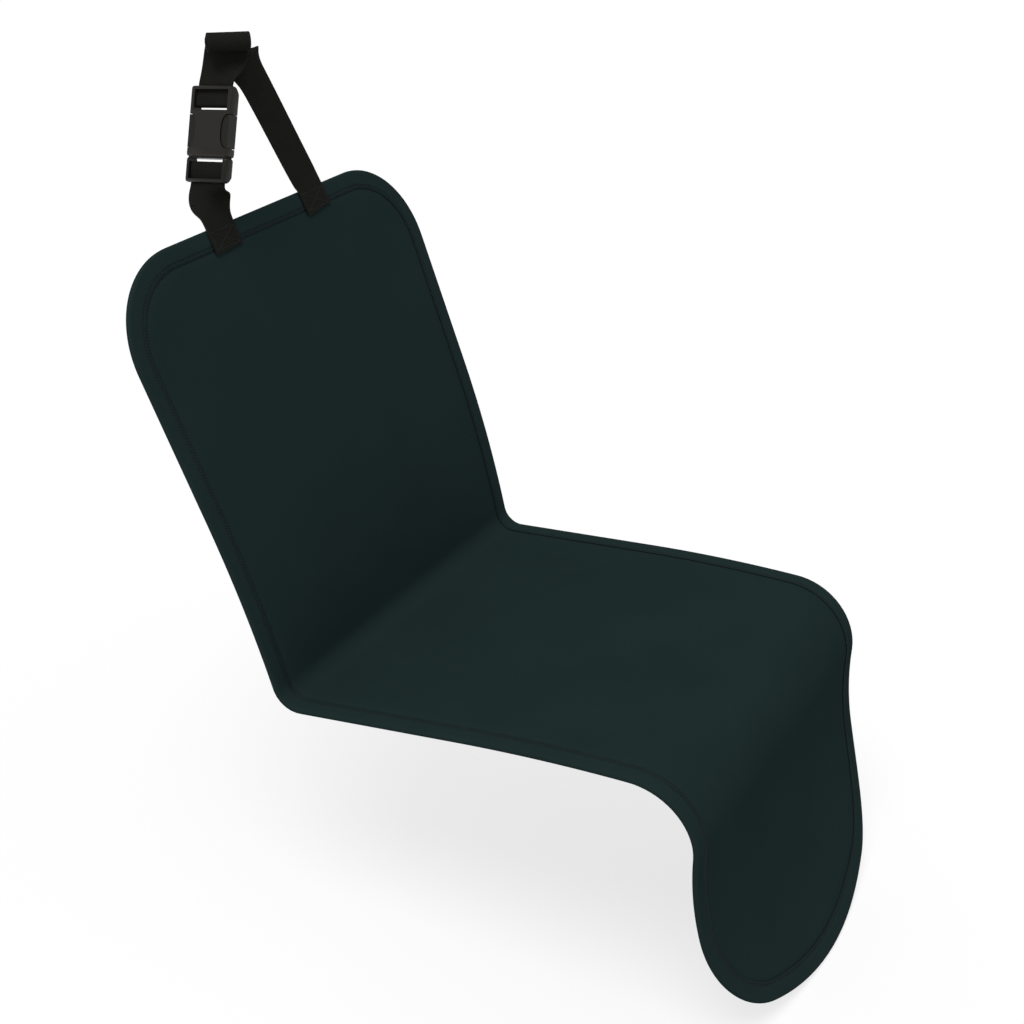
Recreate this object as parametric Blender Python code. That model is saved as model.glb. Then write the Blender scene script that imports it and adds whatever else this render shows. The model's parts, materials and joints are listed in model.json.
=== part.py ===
"""Cover for one car seat, in the shape it takes on the seat.

A padded cloth panel with a thin backing runs down the backrest, along the cushion and over
its front edge. A folded tape binds the edge all round. Two webbing straps sewn to the top
edge go round the headrest and close with a side release buckle.

Metres, +Z up, the front of the seat towards -Y, +X across the seat. The origin lies on the
underside of the seat part, in the middle of its straight stretch.
"""

import math

import bmesh
import bpy
from mathutils import Matrix, Vector

# Flat cut of the cover
TOP_WIDTH = 0.590
BOTTOM_WIDTH = 0.470
TOP_CORNER_RADIUS = 0.118
BOTTOM_CORNER_RADIUS = 0.160
BOTTOM_CROWN = 0.084

# Side shape from the top edge to the flap, lengths and headings below the horizontal
BACK_UPPER_LENGTH = 0.300
BACK_UPPER_HEADING = -65.0
BACK_LOWER_LENGTH = 0.222
BACK_LOWER_HEADING = -73.0
CREASE_RADIUS = 0.030
SEAT_REAR_LENGTH = 0.210
SEAT_REAR_HEADING = 9.6
SEAT_FRONT_LENGTH = 0.214
SEAT_FRONT_HEADING = 4.0
FRONT_BEND_RADIUS = 0.078
FLAP_LENGTH = 0.291
FLAP_TOP_HEADING = -89.4
FLAP_END_HEADING = -48.6

# Layers of the cover
PANEL_THICKNESS = 0.0050
PANEL_EDGE_THICKNESS = 0.0034
PANEL_EDGE_FADE = 0.0060
BACKING_THICKNESS = 0.0028
BACKING_EDGE_THICKNESS = 0.0012
BACKING_EDGE_FADE = 0.0050
BINDING_WIDTH = 0.0244
BINDING_THICKNESS = 0.0009
BINDING_EDGE_ROUND = 0.0022
LAYER_GAP = 0.0003

# Webbing
WEBBING_WIDTH = 0.050
WEBBING_THICKNESS = 0.0020
SELVAGE_CHAMFER = 0.0005
STRAP_LAP = 0.0300
LAP_OVERHANG = 0.0080
LAYER_PITCH = 0.0028
FOLD_BACK = 0.026
ROLL_TURNS = 2.25
ROLL_RADIUS = 0.0112
ROLL_PITCH = 0.0026

# Buckle
BUCKLE_LENGTH = 0.112
BUCKLE_WIDTH = 0.063
BUCKLE_DEPTH = 0.016
FRAME_DEPTH = 0.014
CORNER_RADIUS = 0.0035
END_TAPER_DEPTH = 0.0075
END_TAPER_LENGTH = 0.0100
RAIL = 0.0042
RAIL_BACK = -0.0028
SLOT_WIDTH = 0.0515
SLOT_INNER_Z = 0.0280
BAR_HEIGHT = 0.0095
BAR_THICKNESS = 0.0040
BAR_CLEARANCE = 0.00035
BAR_SIDE_BITE = 0.0010
WRAP_GAP = 0.0030
MOUTH_Z = -0.0262
MOUTH_GAP = 0.0004
PLATE_THICKNESS = 0.0022
SIDE_WALL = 0.0026
CAVITY_END_Z = 0.0235
WINDOW_CENTRE_Z = 0.0035
WINDOW_HALF_LENGTH = 0.0200
WINDOW_INSET = 0.0122
WINDOW_SQUARENESS = 2.6
WINDOW_CLEARANCE = 0.0008
BASE_RAIL_TOP_Z = -0.0205
BASE_RAIL_CLEARANCE = 0.0004
PAD_HALF_DEPTH = 0.0068
PAD_STANDOFF = 0.0008
ARM_HALF_DEPTH = 0.0050
ARM_THICKNESS = 0.0036
ARM_ROOT_X = 0.0225
ARM_ROOT_Z = -0.0160
ARM_PAD_OFFSET = 0.0040
ARM_SPLAY = 0.0010
ARM_TIP_Z = 0.0160
ARM_TIP_DROP = 0.0030
GUIDE_HALF_WIDTH = 0.0030
GUIDE_TIP_Z = 0.0180
GUIDE_ROUND = 0.0012
CUT_MARGIN = 0.0020

# Where the straps are sewn on, and how far each lap leans for every metre down the cover
SHORT_STRAP_X = -0.0845
SHORT_LAP_LEAN = 0.05
LONG_STRAP_X = 0.0965
LONG_LAP_LEAN = 0.12

# Where the buckle stands and the straps pass, measured from the middle of the top edge
BUCKLE_MIDDLE = Vector((-0.0620, 0.0175, 0.1020))
BUCKLE_UP = Vector((0.374, 0.135, 0.918)).normalized()
BUCKLE_ACROSS = Vector((-0.029, -0.987, 0.157))
CREST = Vector((0.0000, 0.0280, 0.1875))
CREST_HEADING = Vector((-0.94, -0.34, 0.0)).normalized()
CREST_ACROSS = Vector((0.34, -0.94, 0.0)).normalized()
TAIL_TOP = Vector((-0.0184, 0.0237, 0.2030))
TAIL_ACROSS = Vector((0.64, -0.77, 0.0)).normalized()

# How the straps leave one place and reach the next
SHORT_RISE_LEAN = 0.15
SHORT_RISE_HANDLE = 0.0160
SHORT_ARRIVE_HANDLE = 0.0120
SHORT_TWIST_START = 0.0
LEG_LEAN = -0.40
LEG_HANDLE = 0.0200
LEG_TWIST_START = 0.70
CREST_ARRIVE_HANDLE = 0.0180
CREST_LEAVE_HANDLE = 0.0100
DROP_HANDLE = 0.0180
TAIL_START_HANDLE = 0.0180
TAIL_TOP_HANDLE = 0.0200
TAIL_SIDE_SHIFT = 0.0025
TAIL_OUTWARD_EASE = 0.0050
FRAME_EXIT = 0.0020
RAIL_RUN = 0.0065

# Fineness of the faceted solids
BEND_STEP = math.radians(7.5)
GENTLE_STEP = math.radians(3.0)
CORNER_STEPS = 9
CROWN_STEPS = 5
STRAP_STEPS = 14
LEG_STEPS = 28
LAP_STEPS = 4
WRAP_STEPS = 12
BAR_END_STEPS = 8
WINDOW_STEPS = 40
ROLL_STEP = math.radians(24.0)

X_AXIS = Vector((1.0, 0.0, 0.0))
Z_AXIS = Vector((0.0, 0.0, 1.0))

COLOURS = {
    "cloth": (0.014, 0.022, 0.023, 1.0),
    "backing": (0.020, 0.021, 0.022, 1.0),
    "binding": (0.021, 0.029, 0.030, 1.0),
    "webbing": (0.012, 0.012, 0.011, 1.0),
    "buckle": (0.030, 0.028, 0.025, 1.0),
}


def clear_scene():
    for obj in list(bpy.data.objects):
        bpy.data.objects.remove(obj, do_unlink=True)


def make_material(name, roughness):
    material = bpy.data.materials.new(name)
    material.use_nodes = True
    shader = material.node_tree.nodes["Principled BSDF"]
    shader.inputs["Base Color"].default_value = COLOURS[name]
    shader.inputs["Roughness"].default_value = roughness
    shader.inputs["Metallic"].default_value = 0.0
    return material


def add_object(name, bm, material):
    bmesh.ops.recalc_face_normals(bm, faces=bm.faces)
    mesh = bpy.data.meshes.new(name)
    bm.to_mesh(mesh)
    bm.free()
    mesh.materials.append(material)
    obj = bpy.data.objects.new(name, mesh)
    bpy.context.scene.collection.objects.link(obj)
    return obj


class SideShape:
    """The cover seen from the side: rows across it, joined by straight facets."""

    def __init__(self):
        upper, lower = math.radians(BACK_UPPER_HEADING), math.radians(BACK_LOWER_HEADING)
        rear, front = math.radians(SEAT_REAR_HEADING), math.radians(SEAT_FRONT_HEADING)
        flap, end = math.radians(FLAP_TOP_HEADING), math.radians(FLAP_END_HEADING)
        spans = [
            (BACK_UPPER_LENGTH, upper, upper, GENTLE_STEP),
            (BACK_LOWER_LENGTH, upper, lower, GENTLE_STEP),
            (CREASE_RADIUS * (rear - lower), lower, rear, BEND_STEP),
            (SEAT_REAR_LENGTH, rear, rear, GENTLE_STEP),
            (SEAT_FRONT_LENGTH, rear, front, GENTLE_STEP),
            (FRONT_BEND_RADIUS * (front - flap), front, flap, BEND_STEP),
            (FLAP_LENGTH, flap, end, GENTLE_STEP),
        ]
        self.rows = [(0.0, Vector((0.0, 0.0)), upper)]
        self.marks = [0.0]
        for length, start, finish, step in spans:
            self.add_span(length, start, finish, step)
            self.marks.append(self.rows[-1][0])
        self.length = self.rows[-1][0]
        self.shift = -self.point_at(0.5 * (self.marks[3] + self.marks[4]), self.underside())

    def add_span(self, length, start, finish, step):
        """Adds one stretch of constant curvature as a few rows."""
        at, base, _ = self.rows[-1]
        turn = finish - start
        count = max(1, math.ceil(abs(turn) / step))
        for i in range(1, count + 1):
            part = i / count
            heading = start + turn * part
            if abs(turn) < 1e-9:
                move = Vector((math.cos(start), math.sin(start))) * length * part
            else:
                radius = length / turn
                move = Vector((math.sin(heading) - math.sin(start), math.cos(start) - math.cos(heading))) * radius
            self.rows.append((at + length * part, base + move, heading))

    def underside(self):
        return -(LAYER_GAP + BACKING_THICKNESS)

    def point_at(self, s, out):
        """The point at length s along the cover and height out above the panel's underside."""
        last = len(self.rows) - 2
        i = 0
        while i < last and s > self.rows[i + 1][0]:
            i += 1
        ends = []
        for _, base, heading in self.rows[i:i + 2]:
            ends.append(base + Vector((-math.sin(heading), math.cos(heading))) * out)
        part = (s - self.rows[i][0]) / (self.rows[i + 1][0] - self.rows[i][0])
        return ends[0].lerp(ends[1], part)

    def place(self, x, s, out=0.0):
        """Takes a point of the flat cut to its place on the seat."""
        forward, up = self.point_at(s, out) + self.shift
        return Vector((x, -forward, up))

    def along(self, s):
        """The direction down the cover at length s."""
        step = 1e-4
        return (self.place(0.0, s + step) - self.place(0.0, s - step)).normalized()


def end_curve(half, radius, rise):
    """One end of the flat cut, from its middle to the side: a shallow crown and a round corner."""
    points = []
    if rise < 1e-6:
        points.append((0.0, 0.0))
        centre_x, centre_y, start = half - radius, radius, 0.0
    else:
        big = (half * half + rise * rise) / (2.0 * rise)
        centre_x = half - radius
        centre_y = big - math.sqrt((big - radius) ** 2 - centre_x ** 2)
        start = math.atan2(centre_x, big - centre_y)
        for i in range(CROWN_STEPS):
            angle = start * i / CROWN_STEPS
            points.append((big * math.sin(angle), big - big * math.cos(angle)))
    for i in range(CORNER_STEPS + 1):
        angle = start + (math.pi / 2 - start) * i / CORNER_STEPS
        points.append((centre_x + radius * math.sin(angle), centre_y - radius * math.cos(angle)))
    return points


def cover_outline(length, inset):
    """The closed outline of the flat cut, moved in by inset, as points (x, s)."""
    half = TOP_WIDTH / 2 - inset
    top = [(x, s + inset) for x, s in end_curve(half, TOP_CORNER_RADIUS - inset, 0.0)]
    rise = BOTTOM_CROWN * (half / (TOP_WIDTH / 2)) ** 2
    bottom = end_curve(half, BOTTOM_CORNER_RADIUS - inset, rise)
    right = top + [(x, length - inset - s) for x, s in reversed(bottom)]
    points = []
    for x, s in right:
        side = TOP_WIDTH / 2 + (BOTTOM_WIDTH - TOP_WIDTH) / 2 * s / length - inset
        points.append((x * side / half, s))
    mirrored = [(-x, s) for x, s in reversed(points[1:-1])]
    return points + mirrored


def add_ring(bm, length, inset, out):
    return [bm.verts.new((x, s, out)) for x, s in cover_outline(length, inset)]


def skin(bm, first, second):
    count = len(first)
    for i in range(count):
        j = (i + 1) % count
        bm.faces.new((first[i], first[j], second[j], second[i]))


def lay_on_seat(bm, side):
    """Cuts the flat solid at every row and bends it to the side shape."""
    for s, _, _ in side.rows[1:-1]:
        geometry = bm.verts[:] + bm.edges[:] + bm.faces[:]
        bmesh.ops.bisect_plane(bm, geom=geometry, dist=1e-6, plane_co=(0, s, 0), plane_no=(0, 1, 0))
    for vert in bm.verts:
        vert.co = side.place(*vert.co)


def make_sheet(name, side, rings, material):
    """A sheet from its lower face to its upper face, given as rings (inset, height)."""
    bm = bmesh.new()
    loops = [add_ring(bm, side.length, inset, out) for inset, out in rings]
    bm.faces.new(reversed(loops[0]))
    for first, second in zip(loops, loops[1:]):
        skin(bm, first, second)
    bm.faces.new(loops[-1])
    lay_on_seat(bm, side)
    return add_object(name, bm, material)


def make_face_panel(side, material):
    inset = LAYER_GAP + BINDING_THICKNESS
    seam = BINDING_WIDTH + LAYER_GAP
    rise = PANEL_THICKNESS - PANEL_EDGE_THICKNESS
    rings = [
        (inset, 0.0),
        (inset, PANEL_EDGE_THICKNESS),
        (seam, PANEL_EDGE_THICKNESS),
        (seam + PANEL_EDGE_FADE * 0.3, PANEL_EDGE_THICKNESS + rise * 0.7),
        (seam + PANEL_EDGE_FADE, PANEL_THICKNESS),
    ]
    return make_sheet("face_panel", side, rings, material)


def make_backing_panel(side, material):
    """The backing: thin under the tape, and proud of the tape everywhere inside it."""
    inset = LAYER_GAP + BINDING_THICKNESS
    seam = BINDING_WIDTH + LAYER_GAP
    edge = -LAYER_GAP - BACKING_EDGE_THICKNESS
    rings = [
        (seam + BACKING_EDGE_FADE, side.underside()),
        (seam, edge),
        (inset, edge),
        (inset, -LAYER_GAP),
    ]
    return make_sheet("backing_panel", side, rings, material)


def make_edge_binding(side, material):
    """A tape folded round the edge, as a closed U section carried along the outline."""
    inner_low = -2 * LAYER_GAP - BACKING_EDGE_THICKNESS
    inner_high = PANEL_EDGE_THICKNESS + LAYER_GAP
    low, high = inner_low - BINDING_THICKNESS, inner_high + BINDING_THICKNESS
    nose = BINDING_EDGE_ROUND
    section = [
        (BINDING_WIDTH, high),
        (nose, high),
        (nose * 0.3, high - nose * 0.3),
        (0.0, high - nose),
        (0.0, low + nose),
        (nose * 0.3, low + nose * 0.3),
        (nose, low),
        (BINDING_WIDTH, low),
        (BINDING_WIDTH, inner_low),
        (BINDING_THICKNESS, inner_low),
        (BINDING_THICKNESS, inner_high),
        (BINDING_WIDTH, inner_high),
    ]
    bm = bmesh.new()
    loops = [add_ring(bm, side.length, inset, out) for inset, out in section]
    for i, loop in enumerate(loops):
        skin(bm, loop, loops[(i + 1) % len(loops)])
    lay_on_seat(bm, side)
    return add_object("edge_binding", bm, material)


def bezier(p0, p1, p2, p3, count):
    """Points on a cubic curve, without its first point."""
    points = []
    for i in range(1, count + 1):
        t = i / count
        u = 1.0 - t
        points.append(p0 * u ** 3 + p1 * 3 * u * u * t + p2 * 3 * u * t * t + p3 * t ** 3)
    return points


def eased(t):
    return t * t * (3.0 - 2.0 * t)


def turn_across(first, second, count, start=0.0):
    """Directions across a strap, turning smoothly from one to the other after a plain start."""
    parts = [max(0.0, i / count - start) / (1.0 - start) for i in range(1, count + 1)]
    return [first.slerp(second, eased(part)) for part in parts]


def make_strap(name, stations, material):
    """A flat strap through stations (centre, direction across)."""
    half, thick = WEBBING_WIDTH / 2, WEBBING_THICKNESS / 2
    cut = SELVAGE_CHAMFER
    section = [
        (-half, -thick + cut), (-half, thick - cut), (-half + cut, thick), (half - cut, thick),
        (half, thick - cut), (half, -thick + cut), (half - cut, -thick), (-half + cut, -thick),
    ]
    bm = bmesh.new()
    loops = []
    for i, (centre, across) in enumerate(stations):
        before = stations[max(i - 1, 0)][0]
        after = stations[min(i + 1, len(stations) - 1)][0]
        along = (after - before).normalized()
        across = (across - along * across.dot(along)).normalized()
        normal = along.cross(across)
        loops.append([bm.verts.new(centre + across * a + normal * b) for a, b in section])
    bm.faces.new(loops[0])
    for first, second in zip(loops, loops[1:]):
        skin(bm, first, second)
    bm.faces.new(reversed(loops[-1]))
    return add_object(name, bm, material)


class BuckleFrame:
    """The buckle's own axes: x across, y from front to back, z along it, upwards."""

    def __init__(self, side):
        self.up = BUCKLE_UP
        self.across = (BUCKLE_ACROSS - self.up * BUCKLE_ACROSS.dot(self.up)).normalized()
        back = self.up.cross(self.across)
        self.matrix = Matrix((self.across, back, self.up)).transposed().to_4x4()
        self.matrix.translation = side.place(0.0, 0.0) + BUCKLE_MIDDLE

    def point(self, y, z):
        return self.matrix @ Vector((0.0, y, z))


def bar_limits():
    """Distances of a bar's inner and outer end from the buckle's middle."""
    inner = SLOT_INNER_Z + WRAP_GAP + WEBBING_THICKNESS + BAR_CLEARANCE
    return inner, inner + BAR_HEIGHT


def strap_through(frame, end):
    """The webbing's way in behind a rail, round the bar and out again, from back to front.

    end is 1 for the upper half and -1 for the lower.
    """
    radius = BAR_THICKNESS / 2 + BAR_CLEARANCE + WEBBING_THICKNESS / 2
    inner, outer = bar_limits()
    turn_z, leave_z = inner + BAR_THICKNESS / 2, outer - BAR_THICKNESS / 2
    edge_z = BUCKLE_LENGTH / 2 + FRAME_EXIT
    layer = LAYER_PITCH / 2
    route = [(layer, edge_z), (layer, edge_z - RAIL_RUN), (radius, leave_z)]
    for i in range(WRAP_STEPS + 1):
        angle = math.pi * i / WRAP_STEPS
        route.append((radius * math.cos(angle), turn_z - radius * math.sin(angle)))
    route += [(-radius, leave_z), (-layer, edge_z - RAIL_RUN), (-layer, edge_z)]
    return [(frame.point(y, end * z), frame.across) for y, z in route]


def strap_lap(side, x, lean):
    """The sewn end of a strap on the cover, from its cut end to just past the top edge."""
    height = PANEL_THICKNESS + LAYER_GAP + WEBBING_THICKNESS / 2
    stations = []
    for i in range(LAP_STEPS + 1):
        s = STRAP_LAP - (STRAP_LAP + LAP_OVERHANG) * i / LAP_STEPS
        stations.append((side.place(x + lean * s, s, height), X_AXIS))
    return stations


def leave_cover(side, lean):
    """The direction in which a strap leaves the top edge."""
    return (X_AXIS * lean - side.along(STRAP_LAP)).normalized()


def make_short_strap(side, frame, material):
    """Sewn to the cover, round the lower bar and folded back behind itself."""
    stations = strap_lap(side, SHORT_STRAP_X, SHORT_LAP_LEAN)
    start = stations[-1][0]
    through = list(reversed(strap_through(frame, -1)))
    arrive = through[0][0]
    rise = bezier(
        start, start + leave_cover(side, SHORT_RISE_LEAN) * SHORT_RISE_HANDLE,
        arrive - frame.up * SHORT_ARRIVE_HANDLE, arrive, STRAP_STEPS)
    turns = turn_across(X_AXIS, frame.across, STRAP_STEPS, SHORT_TWIST_START)
    stations += list(zip(rise, turns)) + through[1:]
    for i in range(len(rise) - 2, 0, -1):
        along = (rise[i + 1] - rise[i - 1]).normalized()
        point = rise[i] + along.cross(turns[i]).normalized() * LAYER_PITCH
        stations.append((point, turns[i]))
        if (point - arrive).length > FOLD_BACK:
            break
    return make_strap("short_strap", stations, material)


def make_long_strap(side, frame, material):
    """Sewn to the cover, over the crest, down round the upper bar and up again as the tail."""
    top = side.place(0.0, 0.0)
    crest = top + CREST
    stations = strap_lap(side, LONG_STRAP_X, LONG_LAP_LEAN)
    start = stations[-1][0]
    leg = bezier(
        start, start + leave_cover(side, LEG_LEAN) * LEG_HANDLE,
        crest - CREST_HEADING * CREST_ARRIVE_HANDLE, crest, LEG_STEPS)
    stations += list(zip(leg, turn_across(X_AXIS, CREST_ACROSS, LEG_STEPS, LEG_TWIST_START)))
    through = strap_through(frame, 1)
    arrive = through[0][0]
    drop = bezier(
        crest, crest + CREST_HEADING * CREST_LEAVE_HANDLE,
        arrive + frame.up * DROP_HANDLE, arrive, STRAP_STEPS)
    stations += list(zip(drop, turn_across(CREST_ACROSS, frame.across, STRAP_STEPS)))
    stations += through[1:]
    stations += tail_stations(top + TAIL_TOP, frame, through[-1][0])
    return make_strap("long_strap", stations, material)


def tail_stations(tail_top, frame, start):
    """The free tail in front of the loop, with its end rolled up."""
    outward = TAIL_ACROSS.cross(Z_AXIS).normalized()
    leave = start + frame.up * TAIL_START_HANDLE + frame.across * TAIL_SIDE_SHIFT
    reach = tail_top - Z_AXIS * TAIL_TOP_HANDLE + outward * TAIL_OUTWARD_EASE
    rise = bezier(start, leave, reach, tail_top, STRAP_STEPS)
    stations = list(zip(rise, turn_across(frame.across, TAIL_ACROSS, STRAP_STEPS)))
    centre = tail_top + outward * ROLL_RADIUS
    count = round(ROLL_TURNS * 2 * math.pi / ROLL_STEP)
    for i in range(1, count + 1):
        angle = ROLL_STEP * i
        radius = ROLL_RADIUS - ROLL_PITCH * angle / (2 * math.pi)
        point = centre - outward * radius * math.cos(angle) + Z_AXIS * radius * math.sin(angle)
        stations.append((point, TAIL_ACROSS))
    return stations


def block(name, x, y, z, bevel=0.0, segments=2):
    """A block between pairs of limits, its edges rounded."""
    bm = bmesh.new()
    bmesh.ops.create_cube(bm, size=1.0)
    for vert in bm.verts:
        vert.co = Vector((
            x[0] if vert.co.x < 0 else x[1],
            y[0] if vert.co.y < 0 else y[1],
            z[0] if vert.co.z < 0 else z[1]))
    if bevel > 0.0:
        bmesh.ops.bevel(
            bm, geom=bm.edges[:], offset=bevel, segments=segments, profile=0.5, affect="EDGES", material=-1)
    return solid(name, bm)


def side_prism(name, outline, half_width):
    """A side view outline of points (y, z), carried across the buckle."""
    bm = bmesh.new()
    face = bm.faces.new([bm.verts.new((-half_width, y, z)) for y, z in outline])
    result = bmesh.ops.extrude_face_region(bm, geom=[face])
    moved = [item for item in result["geom"] if isinstance(item, bmesh.types.BMVert)]
    bmesh.ops.translate(bm, verts=moved, vec=(2 * half_width, 0, 0))
    return solid(name, bm)


def front_prism(name, outline, half_depth):
    """A front view outline of points (x, z), carried from front to back."""
    bm = bmesh.new()
    face = bm.faces.new([bm.verts.new((x, -half_depth, z)) for x, z in outline])
    result = bmesh.ops.extrude_face_region(bm, geom=[face])
    moved = [item for item in result["geom"] if isinstance(item, bmesh.types.BMVert)]
    bmesh.ops.translate(bm, verts=moved, vec=(0, 2 * half_depth, 0))
    return solid(name, bm)


def flat_bar(end):
    """The cross bar of one half, with round edges."""
    radius = BAR_THICKNESS / 2
    inner, outer = bar_limits()
    outline = []
    for centre, start in ((outer - radius, 0.0), (inner + radius, math.pi)):
        for i in range(BAR_END_STEPS + 1):
            angle = start + math.pi * i / BAR_END_STEPS
            outline.append((radius * math.cos(angle), end * (centre + radius * math.sin(angle))))
    return side_prism("bar", outline, SLOT_WIDTH / 2 + BAR_SIDE_BITE)


def window_outline(sign, clearance):
    """A rounded window centred on the buckle's side, or the pad in it, as points (x, z)."""
    half_x, half_z = WINDOW_INSET - clearance, WINDOW_HALF_LENGTH - clearance
    power = 2.0 / WINDOW_SQUARENESS
    points = []
    for i in range(WINDOW_STEPS):
        angle = 2 * math.pi * i / WINDOW_STEPS
        c, s = math.cos(angle), math.sin(angle)
        x = math.copysign(abs(c) ** power, c) * half_x
        z = math.copysign(abs(s) ** power, s) * half_z
        points.append((sign * BUCKLE_WIDTH / 2 + x, WINDOW_CENTRE_Z + z))
    return points


def solid(name, bm):
    bmesh.ops.recalc_face_normals(bm, faces=bm.faces)
    mesh = bpy.data.meshes.new(name)
    bm.to_mesh(mesh)
    bm.free()
    obj = bpy.data.objects.new(name, mesh)
    bpy.context.scene.collection.objects.link(obj)
    return obj


def combine(target, tools, operation):
    """Joins the tools to the target, or cuts them from it, and removes the tools."""
    for tool in tools:
        modifier = target.modifiers.new(tool.name, "BOOLEAN")
        modifier.operation = operation
        modifier.solver = "EXACT"
        modifier.object = tool
        graph = bpy.context.evaluated_depsgraph_get()
        shaped = bpy.data.meshes.new_from_object(target.evaluated_get(graph))
        target.modifiers.clear()
        target.data = shaped
        bpy.data.objects.remove(tool, do_unlink=True)


def finish_buckle_half(obj, frame, material):
    """Merges the seams the cuts left and puts the half in its place."""
    bm = bmesh.new()
    bm.from_mesh(obj.data)
    bmesh.ops.remove_doubles(bm, verts=bm.verts, dist=1e-6)
    bmesh.ops.dissolve_limit(bm, angle_limit=math.radians(0.5), verts=bm.verts, edges=bm.edges)
    bmesh.ops.transform(bm, matrix=frame.matrix, verts=bm.verts)
    bmesh.ops.recalc_face_normals(bm, faces=bm.faces)
    bm.to_mesh(obj.data)
    bm.free()
    obj.data.materials.clear()
    obj.data.materials.append(material)


def webbing_cuts(end, inner_z):
    """One half's slot, the open way behind its end rail and the taper of its sides."""
    half, side, back = BUCKLE_LENGTH / 2, SLOT_WIDTH / 2, FRAME_DEPTH / 2
    slot = sorted((end * inner_z, end * (half - RAIL)))
    way = sorted((end * (half - RAIL - CUT_MARGIN), end * (half + CUT_MARGIN)))
    taper = [
        (back - END_TAPER_DEPTH, half),
        (back, half - END_TAPER_LENGTH),
        (2 * back, half - END_TAPER_LENGTH),
        (2 * back, half + CUT_MARGIN),
        (back - END_TAPER_DEPTH, half + CUT_MARGIN),
    ]
    return [
        block("slot_cut", (-side, side), (-FRAME_DEPTH, FRAME_DEPTH), slot),
        block("way_cut", (-side, side), (RAIL_BACK, FRAME_DEPTH), way),
        side_prism("taper_cut", [(y, end * z) for y, z in taper], BUCKLE_WIDTH),
    ]


def make_buckle_socket(frame, material):
    """The upper half: an end frame with a bar, and a flat sleeve open at its mouth and sides."""
    half, width = BUCKLE_LENGTH / 2, BUCKLE_WIDTH / 2
    depth, trim = BUCKLE_DEPTH / 2, FRAME_DEPTH / 2
    body = block("buckle_socket", (-width, width), (-depth, depth), (MOUTH_Z, half), CORNER_RADIUS, 3)
    across = (-width - CUT_MARGIN, width + CUT_MARGIN)
    frame_part = (SLOT_INNER_Z - CUT_MARGIN, half + CUT_MARGIN)
    cuts = [
        block("shave", across, (-depth - CUT_MARGIN, -trim), frame_part),
        block("shave", across, (trim, depth + CUT_MARGIN), frame_part),
    ]
    cuts += webbing_cuts(1, SLOT_INNER_Z)
    inner, hollow = width - SIDE_WALL, depth - PLATE_THICKNESS
    cuts.append(block("cavity", (-inner, inner), (-hollow, hollow), (MOUTH_Z - CUT_MARGIN, CAVITY_END_Z)))
    cuts += [front_prism("window", window_outline(sign, 0.0), BUCKLE_DEPTH) for sign in (-1, 1)]
    combine(body, cuts, "DIFFERENCE")
    combine(body, [flat_bar(1)], "UNION")
    finish_buckle_half(body, frame, material)
    return body


def arm_outline(sign):
    """One latch arm from the plug's base to its tip, bowed outwards to its pad."""
    pad_x = BUCKLE_WIDTH / 2 - WINDOW_INSET + ARM_PAD_OFFSET
    base = BASE_RAIL_TOP_Z - CUT_MARGIN
    outer = [
        (ARM_ROOT_X + ARM_THICKNESS, base),
        (ARM_ROOT_X + ARM_THICKNESS + ARM_SPLAY, ARM_ROOT_Z),
        (pad_x + 2 * ARM_THICKNESS, WINDOW_CENTRE_Z),
        (pad_x + ARM_THICKNESS, ARM_TIP_Z - ARM_TIP_DROP),
        (pad_x + ARM_SPLAY, ARM_TIP_Z),
    ]
    inner = [
        (pad_x - ARM_THICKNESS / 2, ARM_TIP_Z - ARM_TIP_DROP / 2),
        (pad_x, WINDOW_CENTRE_Z),
        (ARM_ROOT_X - ARM_SPLAY, ARM_ROOT_Z),
        (ARM_ROOT_X - 2 * ARM_SPLAY, base),
    ]
    return [(sign * x, z) for x, z in outer + inner]


def latch_pad(sign):
    """The pad that fills one window and stands a little inside the buckle's side."""
    width = BUCKLE_WIDTH / 2
    pad = front_prism("pad", window_outline(sign, WINDOW_CLEARANCE), PAD_HALF_DEPTH)
    outside = sorted((sign * (width - PAD_STANDOFF), sign * 2 * width))
    deep, tall = (-BUCKLE_DEPTH, BUCKLE_DEPTH), (-BUCKLE_LENGTH, BUCKLE_LENGTH)
    combine(pad, [block("trim", outside, deep, tall)], "DIFFERENCE")
    return pad


def make_buckle_plug(frame, material):
    """The lower half: an end frame with a bar, two latch arms with pads and a guide rod."""
    half, width = BUCKLE_LENGTH / 2, BUCKLE_WIDTH / 2
    trim, top = FRAME_DEPTH / 2, MOUTH_Z - MOUTH_GAP
    body = block("buckle_plug", (-width, width), (-trim, trim), (-half, top), CORNER_RADIUS, 3)
    combine(body, webbing_cuts(-1, -top - CUT_MARGIN), "DIFFERENCE")
    base_x = width - SIDE_WALL - BASE_RAIL_CLEARANCE
    base_y = BUCKLE_DEPTH / 2 - PLATE_THICKNESS - BASE_RAIL_CLEARANCE
    guide = GUIDE_HALF_WIDTH
    pieces = [
        flat_bar(-1),
        block("base", (-base_x, base_x), (-base_y, base_y), (-SLOT_INNER_Z, BASE_RAIL_TOP_Z)),
        block("guide", (-guide, guide), (-guide, guide), (BASE_RAIL_TOP_Z - CUT_MARGIN, GUIDE_TIP_Z), GUIDE_ROUND),
    ]
    for sign in (-1, 1):
        pieces += [front_prism("arm", arm_outline(sign), ARM_HALF_DEPTH), latch_pad(sign)]
    combine(body, pieces, "UNION")
    finish_buckle_half(body, frame, material)
    return body


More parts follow.
